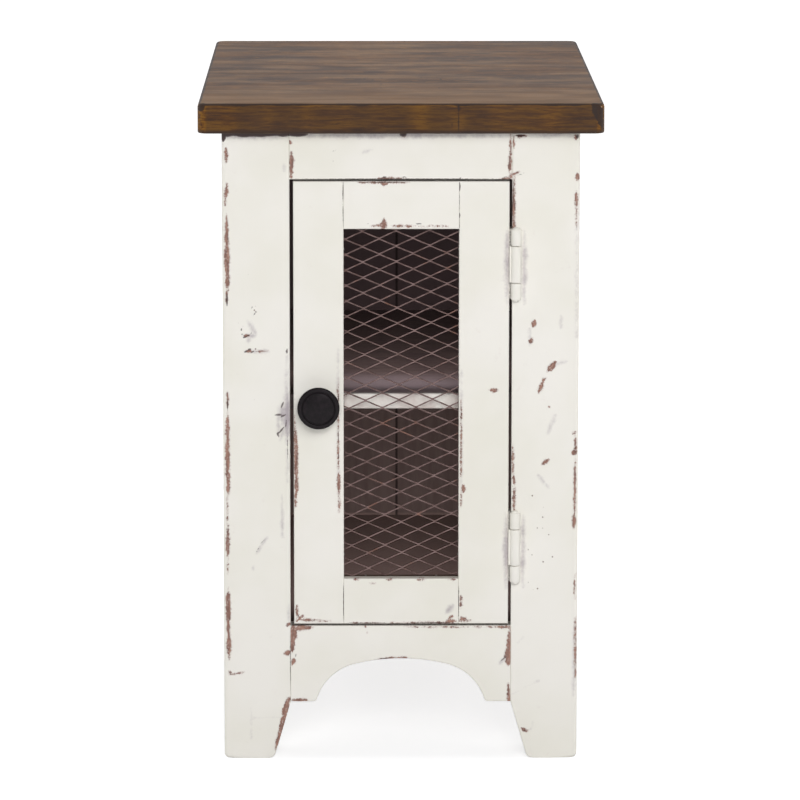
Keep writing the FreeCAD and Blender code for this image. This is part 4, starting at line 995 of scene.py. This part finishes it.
def cabinet_frame():
    """Legs, stiles, rails and aprons of the cabinet's four frames."""
    straight, arched = (HAND_SANDED, JOINT, NONE, JOINT), (HAND_SANDED, JOINT, HAND_SANDED, JOINT)
    for end, name, step, wear, leg, thickness in ((-1, "front", FINE, 0.0, BOARD, BOARD),
                                                  (1, "rear", COARSE, 1.0, REAR_LEG, BEHIND_PANEL)):
        for side, hand in SIDES:
            node = f"{name}_leg_{hand}"
            low, high, face = placed(node, "Y", end)
            outer, inner = (low[0], high[0]) if side < 0 else (high[0], low[0])
            upright(node, face, outer, inner, low[2], high[2],
                    (SOFT_CORNER, NONE, HAND_SANDED, JOINT), foot=side * LEG_FOOT_EDGE, step=step,
                    wear=wear, rounded=FOOT_ROUND, thickness=leg,
                    stained_above=FLOOR_UNDERSIDE, seed=11 + side)
            node = f"side_stile_{name}_{hand}"
            low, high, face = placed(node, "X", side)
            outer, inner = (low[1], high[1]) if end < 0 else (high[1], low[1])
            upright(node, face, outer, inner, low[2], high[2],
                    (JOINT, NONE, HAND_SANDED, FOOT_EASE), foot=end * STILE_FOOT_EDGE,
                    step=MEDIUM, wear=1.0, stained_above=FLOOR_UNDERSIDE, seed=31 + side * end)
        node = f"{name}_top_rail"
        low, high, face = placed(node, "Y", end)
        rail(node, face, low[0], high[0], low[2], high[2], straight, step=step, wear=wear,
             thickness=thickness, stained_above=FLOOR_UNDERSIDE, seed=41)
        node = f"{name}_apron"
        apron(node, placed(node, "Y", end)[2], arched, step=step, wear=wear,
              thickness=thickness, seed=51)
    for side, hand in SIDES:
        node = f"side_top_rail_{hand}"
        low, high, face = placed(node, "X", side)
        rail(node, face, low[1], high[1], low[2], high[2], straight, step=MEDIUM, wear=1.0,
             stained_above=FLOOR_UNDERSIDE, seed=61 + side)
        node = f"side_apron_{hand}"
        apron(node, placed(node, "X", side)[2], arched, step=MEDIUM, wear=1.0, seed=71 + side)


REBATE_DEPTH, REBATE_WIDTH, HAIR, BESIDE_METAL = 11.0, 8.0, 0.02, 0.9


def door_frame():
    """Two stiles and two rails of the door, rebated behind the opening for the metal."""
    left_low, left_high = box_mm("door_stile_left")
    right_low, right_high = box_mm("door_stile_right")
    thick = left_high[1] - left_low[1]
    face = ("Y", left_low[1])
    opening_bottom = box_mm("door_rail_bottom")[1][2]
    opening_top = box_mm("door_rail_top")[0][2]
    cut = (opening_bottom - REBATE_WIDTH, opening_top + REBATE_WIDTH)
    stops = (cut[0] - HAIR / 2, cut[0] + HAIR / 2, cut[1] - HAIR / 2, cut[1] + HAIR / 2)
    eased = (HAND_SANDED, HAND_SANDED, BESIDE_METAL, HAND_SANDED)
    for node, outer, inner in (("door_stile_left", left_low[0], left_high[0]),
                               ("door_stile_right", right_high[0], right_low[0])):
        upright(node, face, outer, inner, left_low[2], left_high[2], eased, step=FINE,
                stops=stops, thickness=thick, body="door", seed=81,
                rebate=(REBATE_DEPTH, REBATE_WIDTH, "high", *cut))
    for node, side, eased in (
            ("door_rail_bottom", "high", (HAND_SANDED, JOINT, BESIDE_METAL, JOINT)),
            ("door_rail_top", "low", (BESIDE_METAL, JOINT, HAND_SANDED, JOINT))):
        low, high = box_mm(node)
        rail(node, face, low[0], high[0], low[2], high[2], eased, step=FINE, thickness=thick,
             body="door", seed=91,
             rebate=(REBATE_DEPTH, REBATE_WIDTH, side, -math.inf, math.inf))


TOP_WORN = ((176, 599, 5, 9, -30), (178, 591, 3.4, 11, -25), (180.5, 585, 2, 6, 0),
            (-179, 602, 3, 5, 40), (51.4, 592, 0.5, 13, 0), (52, 591.5, 1.4, 1.6, 0),
            (45, 585, 0.5, 3, 20), (-60, 580, 0.6, 30, 89), (60, 598, 0.5, 40, 91))
TOP_SCRAPED = ((179.0, 602.2, 0.5, 3.6, -60), (174, 586.6, 0.3, 7, 92), (-180.5, 604, 0.4, 3, 70),
               (171, 590, 0.25, 4, 88))


def table_top():
    """The overhanging top, with rounded corners and edges softened by wear."""
    low, high = box_mm("table_top")
    corner, step, soft, soft_under = 9.5, 3.0, 3.2, 1.5
    bends = [(high[0] - corner + corner * math.sin(a), low[1] + corner - corner * math.cos(a))
             for a in np.linspace(0, math.pi / 2, 9)]
    right = np.array([(x, low[1]) for x in
                      np.linspace(0, high[0] - corner, round((high[0] - corner) / step))[:-1]]
                     + bends)
    front = np.concatenate([right[:0:-1] * (-1, 1), right])
    back = front * (1, -1)
    wobble = 0.55 * lumps(np.stack([front[:, 0], front[:, 1], front[:, 0] * 0], 1), 17.0, 5)
    front[:, 1] += wobble
    back[:, 1] -= wobble[::-1]
    points, faces, backs, rim, deep = board_mesh(
        ("Z", high[2]), front, back, (soft,) * 4, high[2] - low[2], step, under=soft_under)
    reach = 5.0 * (lumps(points, 38.0, 3) - 0.66) + 2.5 * (lumps(points, 9.0, 4) - 0.5)
    line = 0.9 + 1.5 * lumps(points, 12.0, 6) - np.abs(rim - 1.8)
    worn = np.maximum(np.maximum(reach - np.abs(rim - 2.4) * 1.1, line), WHOLE)
    front = points[:, 1] < TOP_FRONT + 8.0
    marks = inside_marks(TOP_WORN, points[:, 0], points[:, 2])
    worn = np.where(front, np.maximum(worn, marks), worn)
    scraped = np.where(front, inside_marks(TOP_SCRAPED, points[:, 0], points[:, 2]), WHOLE)
    dents = np.clip(lumps(points, 7.0, 8) - 0.8, 0, 1) * 1.6 * np.clip(1 - np.abs(rim) / 9.0, 0, 1)
    points[:, 2] -= np.where(deep < 1.0, dents, 0.0)
    piece = welded("planked_top", points, faces + backs, {"worn": worn, "scraped": scraped})
    fitted(piece, "cabinet", "stained_top", "table_top")


# ---- Turned and plate pieces ---------------------------------------------------------------


def revolved(profile, centre, axis, segments=48):
    """Points and faces of a profile, as (radius, height) from pole to pole, turned on an axis."""
    angles = np.linspace(0, 2 * math.pi, segments, endpoint=False)
    points, rows = [], []
    for radius, height in profile:
        if radius == 0:
            rows.append(np.full(segments, len(points)))
            points.append((0, 0, height))
        else:
            rows.append(np.arange(len(points), len(points) + segments))
            points += [(radius * math.cos(a), radius * math.sin(a), height) for a in angles]
    faces = []
    for first, second in zip(rows, rows[1:]):
        for quad in ringed(first, second).tolist():
            kept = [p for i, p in enumerate(quad) if p != quad[i - 1]]
            if len(kept) > 2:
                faces.append(kept)
    turn = np.array(Vector((0, 0, 1)).rotation_difference(Vector(axis)).to_matrix())
    return np.array(points) @ turn.T + np.array(centre), faces


def eased_plate(low, high, radius):
    """Points and faces of a flat plate with softened edges."""
    work = bmesh.new()
    size = np.array(high) - np.array(low)
    bmesh.ops.create_cube(work, size=1.0)
    for vertex in work.verts:
        vertex.co = Vector(np.array(vertex.co) * size + (np.array(low) + np.array(high)) / 2)
    bmesh.ops.bevel(work, geom=work.edges[:], offset=radius, segments=2, affect="EDGES")
    points = np.array([vertex.co[:] for vertex in work.verts])
    faces = [[vertex.index for vertex in side.verts] for side in work.faces]
    work.free()
    return points, faces


def gathered(name, parts, seam=FAR):
    """One mesh object from several closed solids, with grime and painted shade on what lies behind a seam's face.
    """
    points, faces, count = [], [], 0
    for part_points, part_faces in parts:
        points.append(part_points)
        faces += [[p + count for p in side] for side in part_faces]
        count += len(part_points)
    points = np.concatenate(points)
    wear = whole_paint(count)
    wear["grime_and_shade"] = np.where(points[:, 1] > seam, SEAM_GRIME_AND_SHADE, wear["grime_and_shade"])
    return welded(name, points, faces, wear)


KNOB_PROFILE = (
    (0, 0), (8.4, 0), (8.6, 0.7), (8.3, 1.7), (7.3, 2.3), (6.6, 3.3), (6.4, 6.0), (6.7, 9.0),
    (7.8, 12.0), (10.2, 15.2), (13.4, 17.9), (16.4, 19.4), (18.2, 20.3), (18.95, 21.4),
    (19.15, 22.5), (18.95, 23.5), (18.3, 24.3), (17.4, 24.65), (16.2, 24.7), (15.55, 24.6),
    (15.2, 24.25), (14.95, 23.75), (14.6, 23.75), (14.35, 24.25), (14.0, 24.6), (13.2, 24.85),
    (10.5, 25.3), (7.0, 25.7), (3.5, 25.93), (0, 26.0),
)


def knob():
    """The turned knob on the door's left stile."""
    low, high = box_mm("door_knob")
    face = box_mm("door_stile_left")[0][1]
    centre = ((low[0] + high[0]) / 2, face, (low[2] + high[2]) / 2)
    piece = gathered("turned_knob", [revolved(KNOB_PROFILE, centre, (0, -1, 0), 72)])
    fitted(piece, "door", "black_knob", "door_knob")


# A hinge's middle knuckle, the gap beside it, and its plates: how far behind the face they begin,
# how far the ones at the knuckles reach, and how much their edges are eased.
KNUCKLE, KNUCKLE_GAP = 33.0, 0.6
LEAF_BEHIND, WEB_REACH, LEAF_EDGE, LEAF_THICK = 0.3, 0.8, 0.2, 1.05
LEG_EDGE, SEAM_WALL = 100.5, 0.2


def knuckle(radius, bottom, top, centre):
    """One knuckle of a hinge barrel, with softened rims."""
    soft, softer = 0.5, 0.15
    return revolved([(0, bottom), (radius - soft, bottom), (radius - softer, bottom + softer),
                     (radius, bottom + soft), (radius, top - soft), (radius - softer, top - softer),
                     (radius - soft, top), (0, top)], (*centre, 0), (0, 0, 1), 40)


def hinges():
    """Two painted butt hinges: the outer knuckles on the leg, the middle one on the door."""
    axis = frame["joints"][0]["pos_m"]
    x, y = axis[0] / MM, axis[1] / MM
    face = box_mm("door_stile_right")[0][1]
    # From the last of these depths behind the face, down in the seam, the hinges carry painted shade.
    seam, web, shaded_seam_from = face + LEAF_BEHIND, face + WEB_REACH, face + SEAM_WALL
    for place in ("lower", "upper"):
        low, high = box_mm(f"hinge_{place}_leg_leaf")
        door_low, door_high = box_mm(f"hinge_{place}_door_leaf")
        pin_low, pin_high = box_mm(f"hinge_{place}_pin")
        radius = y - low[1]
        middle = (low[2] + high[2]) / 2
        bottom, top = middle - KNUCKLE / 2, middle + KNUCKLE / 2
        outer = [eased_plate((low[0], seam, low[2]), (LEG_EDGE, high[1], high[2]), LEAF_EDGE)]
        for start, end in ((low[2], bottom - KNUCKLE_GAP), (top + KNUCKLE_GAP, high[2])):
            outer += [knuckle(radius, start, end, (x, y)),
                      eased_plate((low[0], y, start), (LEG_EDGE, web, end), LEAF_EDGE)]
        for level, pin_end, towards in ((low[2], pin_low[2], -1), (high[2], pin_high[2], 1)):
            rise = abs(pin_end - level)
            dome = [(0, -1.0), (3.3, -1.0), (3.3, rise * 0.35), (2.9, rise * 0.7),
                    (1.8, rise * 0.93), (0, rise)]
            outer.append(revolved(dome, (x, y, level), (0, 0, towards), 32))
        fitted(gathered(f"hinge_{place}_leg_half", outer, shaded_seam_from), "cabinet",
               "painted_hinge", f"hinge_{place}_leg_leaf", f"hinge_{place}_pin")
        left, leaf_right = door_low[0], door_low[0] + LEAF_THICK
        inner = [knuckle(radius, bottom, top, (x, y)),
                 eased_plate((left, seam, door_low[2]), (leaf_right, *door_high[1:]), LEAF_EDGE),
                 eased_plate((left, y - 0.5, bottom), (leaf_right, web, top), LEAF_EDGE),
                 eased_plate((left + 0.1, y - 0.45, bottom + 0.1), (x, y + 0.45, top - 0.1),
                             LEAF_EDGE)]
        fitted(gathered(f"hinge_{place}_door_half", inner, shaded_seam_from), "door",
               "painted_hinge", f"hinge_{place}_door_leaf")


# ---- Pieces that repeat, made by trees of geometry nodes -----------------------------------


class Maker(Nodes):
    """A tree of geometry nodes with named sizes as its inputs."""

    def __init__(self, name, sizes):
        tree = bpy.data.node_groups.new(name, "GeometryNodeTree")
        super().__init__(tree)
        self.sizes = sizes
        tree.interface.new_socket("Start", in_out="INPUT", socket_type="NodeSocketGeometry")
        for size, value in sizes.items():
            kind = "NodeSocketInt" if isinstance(value, int) else "NodeSocketFloat"
            tree.interface.new_socket(size, in_out="INPUT", socket_type=kind)
        tree.interface.new_socket("Made", in_out="OUTPUT", socket_type="NodeSocketGeometry")
        start = self.add("NodeGroupInput")
        self.size = {name: start.other(name) for name in sizes}

    def finish(self, made, material):
        made = self.add("GeometryNodeRealizeInstances", {0: made})
        made = self.add("GeometryNodeSetMaterial", {"Geometry": made, "Material": material})
        self.add("NodeGroupOutput", {0: made})

    def make(self, name):
        """Runs the tree and gives back its result as a plain mesh object."""
        piece = bpy.data.objects.new(name, bpy.data.meshes.new(name + "_start"))
        bpy.context.scene.collection.objects.link(piece)
        modifier = piece.modifiers.new("maker", "NODES")
        modifier.node_group = self.tree
        for item in self.tree.interface.items_tree:
            if item.in_out == "INPUT" and item.name in self.sizes:
                modifier[item.identifier] = self.sizes[item.name]
        piece.update_tag()
        ready = piece.evaluated_get(bpy.context.evaluated_depsgraph_get())
        mesh = bpy.data.meshes.new_from_object(ready)
        given = [material for material in mesh.materials if material]
        mesh.materials.clear()
        for material in given:
            mesh.materials.append(material)
        mesh.polygons.foreach_set("material_index", [0] * len(mesh.polygons))
        mesh.set_sharp_from_angle(angle=math.radians(38))
        piece.modifiers.clear()
        piece.data = mesh
        return piece


def expanded_metal():
    """Strands that zigzag across the opening and are bonded to their neighbours in turn."""
    low, high = box_mm("door_mesh")
    pitch, rise, bond_x, bond_z, clear_above = 30.5, 14.114, -4.2, 472.4, 3.0
    first_level = math.floor((low[2] - bond_z) / (rise / 2)) + 2
    strands = math.ceil((high[2] - clear_above - bond_z) / (rise / 2)) - first_level
    skipped = math.floor((low[0] - bond_x) / (pitch / 2)) - 1
    half_pitches = math.ceil((high[0] - bond_x) / (pitch / 2)) + 1 - skipped
    n = Maker("expanded_metal", {
        "Pitch across": pitch * MM, "Pitch up": rise * MM, "Strand width": 1.05 * MM,
        "Strand thickness": 0.9 * MM, "Bond length": 1.5 * MM, "Twist": math.radians(24),
        "Askew": math.radians(1.1), "Strands": strands, "Bends": half_pitches * 3 - 1,
        "First bond": skipped * pitch / 2 * MM,
        "Lowest strand": (first_level + 0.5) * rise / 2 * MM,
        "Left edge": (low[0] - bond_x) * MM, "Right edge": (high[0] - bond_x) * MM,
        "Bond x": bond_x * MM, "Bond z": bond_z * MM, "Face": (low[1] + high[1]) / 2 * MM,
        "Phase": (first_level + skipped) % 2,
    })
    size = n.size
    stack = n.add("GeometryNodeMeshLine", {"Count": size["Strands"]})
    net = n.add("GeometryNodeInstanceOnPoints", {
        "Points": stack, "Instance": n.add("GeometryNodeMeshLine", {"Count": size["Bends"]})})
    net = n.add("GeometryNodeRealizeInstances", {0: net})
    order = n.add("GeometryNodeInputIndex")
    level = n.math("FLOOR", (order + 0.5) / size["Bends"])
    index = order - level * size["Bends"] + 1.0
    height = size["Lowest strand"] + level * (size["Pitch up"] / 2.0)
    slid = height * n.math("TANGENT", size["Askew"])
    flip = 1.0 - n.math("PINGPONG", level + size["Phase"], 1.0) * 2.0
    half_pitch = size["Pitch across"] / 2.0
    bend = n.math("FLOOR", index / 3.0)
    part = index - bend * 3.0
    half_bond = size["Bond length"] / 2.0
    is_middle = n.math("GREATER_THAN", part, 1.5)
    bond_end = (part * 2.0 - 1.0) * half_bond
    ahead = n.add("GeometryNodeSwitch", {"Switch": is_middle, "False": bond_end,
                                         "True": half_pitch / 2.0}, input_type="FLOAT")
    x = size["First bond"] + bend * half_pitch + ahead
    x = n.math("MINIMUM", n.math("MAXIMUM", x, size["Left edge"] + slid),
              size["Right edge"] + slid)
    along = (x - size["First bond"]) / half_pitch
    wave = n.math("PINGPONG", along, 1.0) * 2.0 - 1.0
    steep = half_pitch / (half_pitch - size["Bond length"])
    wave = n.math("MAXIMUM", n.math("MINIMUM", wave * steep, 1.0), -1.0)
    swing = size["Pitch up"] / 4.0 - size["Strand width"] / 2.0
    z = height + wave * swing * flip
    net = n.add("GeometryNodeSetPosition", {"Geometry": net, "Position": n.point(x, z=z)})
    lean = is_middle * size["Twist"] * flip * (n.math("PINGPONG", bend, 1.0) * 2.0 - 1.0)
    net = n.add("GeometryNodeStoreNamedAttribute", {"Geometry": net, "Name": "lean",
                                                    "Value": lean}, data_type="FLOAT")
    net = n.add("GeometryNodeMergeByDistance", {"Geometry": net, "Distance": 0.01 * MM})
    strand = n.add("GeometryNodeMeshToCurve", {"Mesh": net})
    strand = n.add("GeometryNodeSetCurveTilt", {"Curve": strand, "Tilt": n.add(
        "GeometryNodeInputNamedAttribute", {"Name": "lean"}, data_type="FLOAT")})
    section = n.add("GeometryNodeCurvePrimitiveQuadrilateral",
                    {"Width": size["Strand thickness"], "Height": size["Strand width"]})
    strand = n.add("GeometryNodeCurveToMesh", {"Curve": strand, "Profile Curve": section,
                                               "Fill Caps": True})
    sheet = n.add("GeometryNodeTransform", {
        "Geometry": strand, "Rotation": n.point(y=-size["Askew"]),
        "Translation": n.point(size["Bond x"], size["Face"], size["Bond z"])})
    n.finish(sheet, FINISHES["aged_mesh"])
    fitted(n.make("expanded_metal_sheet"), "door", "aged_mesh", "door_mesh", finish=())


def planked_sides():
    """Four upright planks in each side frame, with a groove where two of them meet."""
    pitch, count, bevel = 111.5, 4, 0.7 * MM
    for side, hand in SIDES:
        low, high = box_mm(f"side_panel_{hand}")
        n = Maker(f"planks_{hand}", {
            "Plank pitch": pitch * MM, "Planks": count, "Groove half width": 1.0 * MM,
            "Groove depth": 1.2 * MM, "Thickness": (high[0] - low[0]) * MM,
            "Hidden edge": (high[1] - low[1] - count * pitch) / 2 * MM,
            "Foot": low[2] * MM, "Head": high[2] * MM,
            "Inner face": side * min(abs(low[0]), abs(high[0])) * MM, "Side": float(side),
        })
        size = n.size
        half = size["Plank pitch"] / 2.0
        shoulder = size["Thickness"] - size["Groove depth"]
        face = half - size["Groove half width"]
        outside, thick = face - bevel, size["Thickness"]
        index, place = n.add("GeometryNodeInputIndex"), n.point()
        for corner, (x, y) in enumerate((
                (0.0, -half), (0.0, half), (shoulder, half), (shoulder, face), (thick, outside),
                (thick, -outside), (shoulder, -face), (shoulder, -half))):
            here = n.math("COMPARE", index, float(corner), 0.1)
            place = n.vector("ADD", place, n.add("ShaderNodeVectorMath", {
                0: n.point(x, y), "Scale": here}, operation="SCALE"))
        outline = n.add("GeometryNodeCurvePrimitiveCircle", {"Resolution": 8})
        outline = n.add("GeometryNodeSetPosition", {"Geometry": outline, "Position": place})
        rise = n.add("GeometryNodeCurvePrimitiveLine", {
            "Start": n.point(z=size["Foot"]), "End": n.point(z=size["Head"])})
        rise = n.add("GeometryNodeResampleCurve", {"Curve": rise, "Count": 90})
        plank = n.add("GeometryNodeCurveToMesh", {"Curve": rise, "Profile Curve": outline,
                                                  "Fill Caps": True})
        plank = n.add("GeometryNodeFlipFaces", {"Mesh": plank})
        row = n.add("GeometryNodeMeshLine", {"Count": size["Planks"]})
        from_middle = n.add("GeometryNodeInputIndex") - (size["Planks"] - 1.0) / 2.0
        outermost = n.math("GREATER_THAN", n.math("ABSOLUTE", from_middle), 1.0)
        hidden = outermost * size["Hidden edge"]
        y = from_middle * size["Plank pitch"] + n.math("SIGN", from_middle) * (hidden / 2.0)
        row = n.add("GeometryNodeSetPosition",
                    {"Geometry": row, "Position": n.point(size["Inner face"], y)})
        wider = hidden / size["Plank pitch"] + 1.0
        turn = n.math("LESS_THAN", size["Side"], 0.0) * math.pi
        planks = n.add("GeometryNodeInstanceOnPoints", {
            "Points": row, "Instance": plank, "Rotation": n.point(z=turn),
            "Scale": n.point(1.0, wider, 1.0)})
        n.finish(planks, FINISHES["painted_wood"])
        piece = n.make(f"planks_{hand}")
        inwards = [int(polygon.normal.x * side < -0.5) for polygon in piece.data.polygons]
        carry(piece.data, whole_paint(len(piece.data.vertices)))
        fitted(piece, "cabinet", "painted_wood", f"side_panel_{hand}",
               finish=[FINISHES["brown_interior"]])
        piece.data.polygons.foreach_set("material_index", inwards)


def scene_setting():
    """Floor, soft studio lamps, a white surround and the camera."""
    world = bpy.data.worlds.new("surround")
    bpy.context.scene.world = world
    world.use_nodes = True
    w = Nodes(world.node_tree)
    lit = w.add("ShaderNodeBackground", {"Color": shade(0.97, 0.975, 1.0), "Strength": 0.22})
    white = w.add("ShaderNodeBackground", {"Color": (1, 1, 1, 1), "Strength": 1.0})
    w.add("ShaderNodeOutputWorld", {0: w.add(
        "ShaderNodeMixShader", {0: w.directly_seen(), 1: lit, 2: white})})

    floor_material = bpy.data.materials.new("pale_floor")
    floor_material.use_nodes = True
    g = Nodes(floor_material.node_tree)
    pale = g.add("ShaderNodeBsdfDiffuse", {"Color": shade(0.80, 0.80, 0.80)})
    away = g.vector("LENGTH", g.add("ShaderNodeTexCoord", out=3), out=1)
    near, far = 0.3, 1.0
    glow = g.add("ShaderNodeEmission", {"Color": (1, 1, 1, 1), "Strength": g.add(
        "ShaderNodeMapRange", {"Value": away, "From Min": near, "From Max": far,
                               "To Min": 0.70, "To Max": 1.0})})
    unseen = g.add("ShaderNodeEmission", {"Strength": 0.0})
    glow = g.add("ShaderNodeMixShader", {0: g.directly_seen(), 1: unseen, 2: glow})
    g.add("ShaderNodeOutputMaterial", {0: g.add("ShaderNodeAddShader", {0: pale, 1: glow})})
    floor = bpy.data.meshes.new("studio_floor")
    reach = 9.0
    floor.from_pydata([(-reach, -reach, 0), (reach, -reach, 0), (reach, reach, 0),
                       (-reach, reach, 0)], [], [(0, 1, 2, 3)])
    floor.materials.append(floor_material)
    floor_piece = bpy.data.objects.new("studio_floor", floor)
    bpy.context.scene.collection.objects.link(floor_piece)

    aim = Vector((0, 0, 0.33))
    for name, place, toward, size, power, shines in (
        ("door_softbox", (0.0, -3.5, 1.25), aim, 1.0, 52, False),
        ("high_softbox", (0.6, -2.8, 1.5), aim, 0.9, 16, True),
        ("left_softbox", (-2.6, 0.2, 1.3), aim, 1.6, 26, False),
        ("right_softbox", (2.6, 0.2, 1.3), aim, 1.6, 26, False),
        ("overhead_softbox", (0.0, 0.3, 2.8), aim, 1.8, 15, False),
        ("rear_softbox", (0.0, 2.8, 1.5), aim, 1.8, 26, False),
        ("lower_compartment_light", (0.0, -0.235, 0.235), Vector((0, 0.25, 0.17)), 0.10, 0.51,
         False),
        ("upper_compartment_light", (0.0, -0.235, 0.47), Vector((0, 0.25, 0.46)), 0.12, 0.43,
         False),
    ):
        light = bpy.data.lights.new(name, "AREA")
        light.energy, light.size = power, size
        lamp = bpy.data.objects.new(name, light)
        lamp.location = place
        lamp.rotation_euler = (toward - Vector(place)).to_track_quat("-Z", "Y").to_euler()
        lamp.visible_glossy, lamp.visible_camera = shines, False
        bpy.context.scene.collection.objects.link(lamp)

    lens = bpy.data.cameras.new("camera")
    lens.lens, lens.sensor_width = 228.1, 36.0
    lens.clip_end = 50.0
    camera = bpy.data.objects.new("camera", lens)
    camera.location = (-0.0358, -4.8215, 1.0818)
    camera.rotation_euler = (math.radians(90 - 9.37), math.radians(-0.031), math.radians(-0.438))
    bpy.context.scene.collection.objects.link(camera)
    bpy.context.scene.camera = camera
    bpy.context.scene.view_settings.view_transform = "Standard"


def carried_over():
    """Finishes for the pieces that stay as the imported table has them."""
    slots = {part["node"]: part["material_slot"] for part in frame["record"]["subparts"]}
    shelf = shelf_paint()
    for node, piece in frame["nodes"].items():
        finish = shelf if node == "shelf" else FINISHES[slots[node]]
        piece.data.materials.clear()
        piece.data.materials.append(finish)


scene_setting()
carried_over()
table_top()
cabinet_frame()
door_frame()
knob()
hinges()
expanded_metal()
planked_sides()
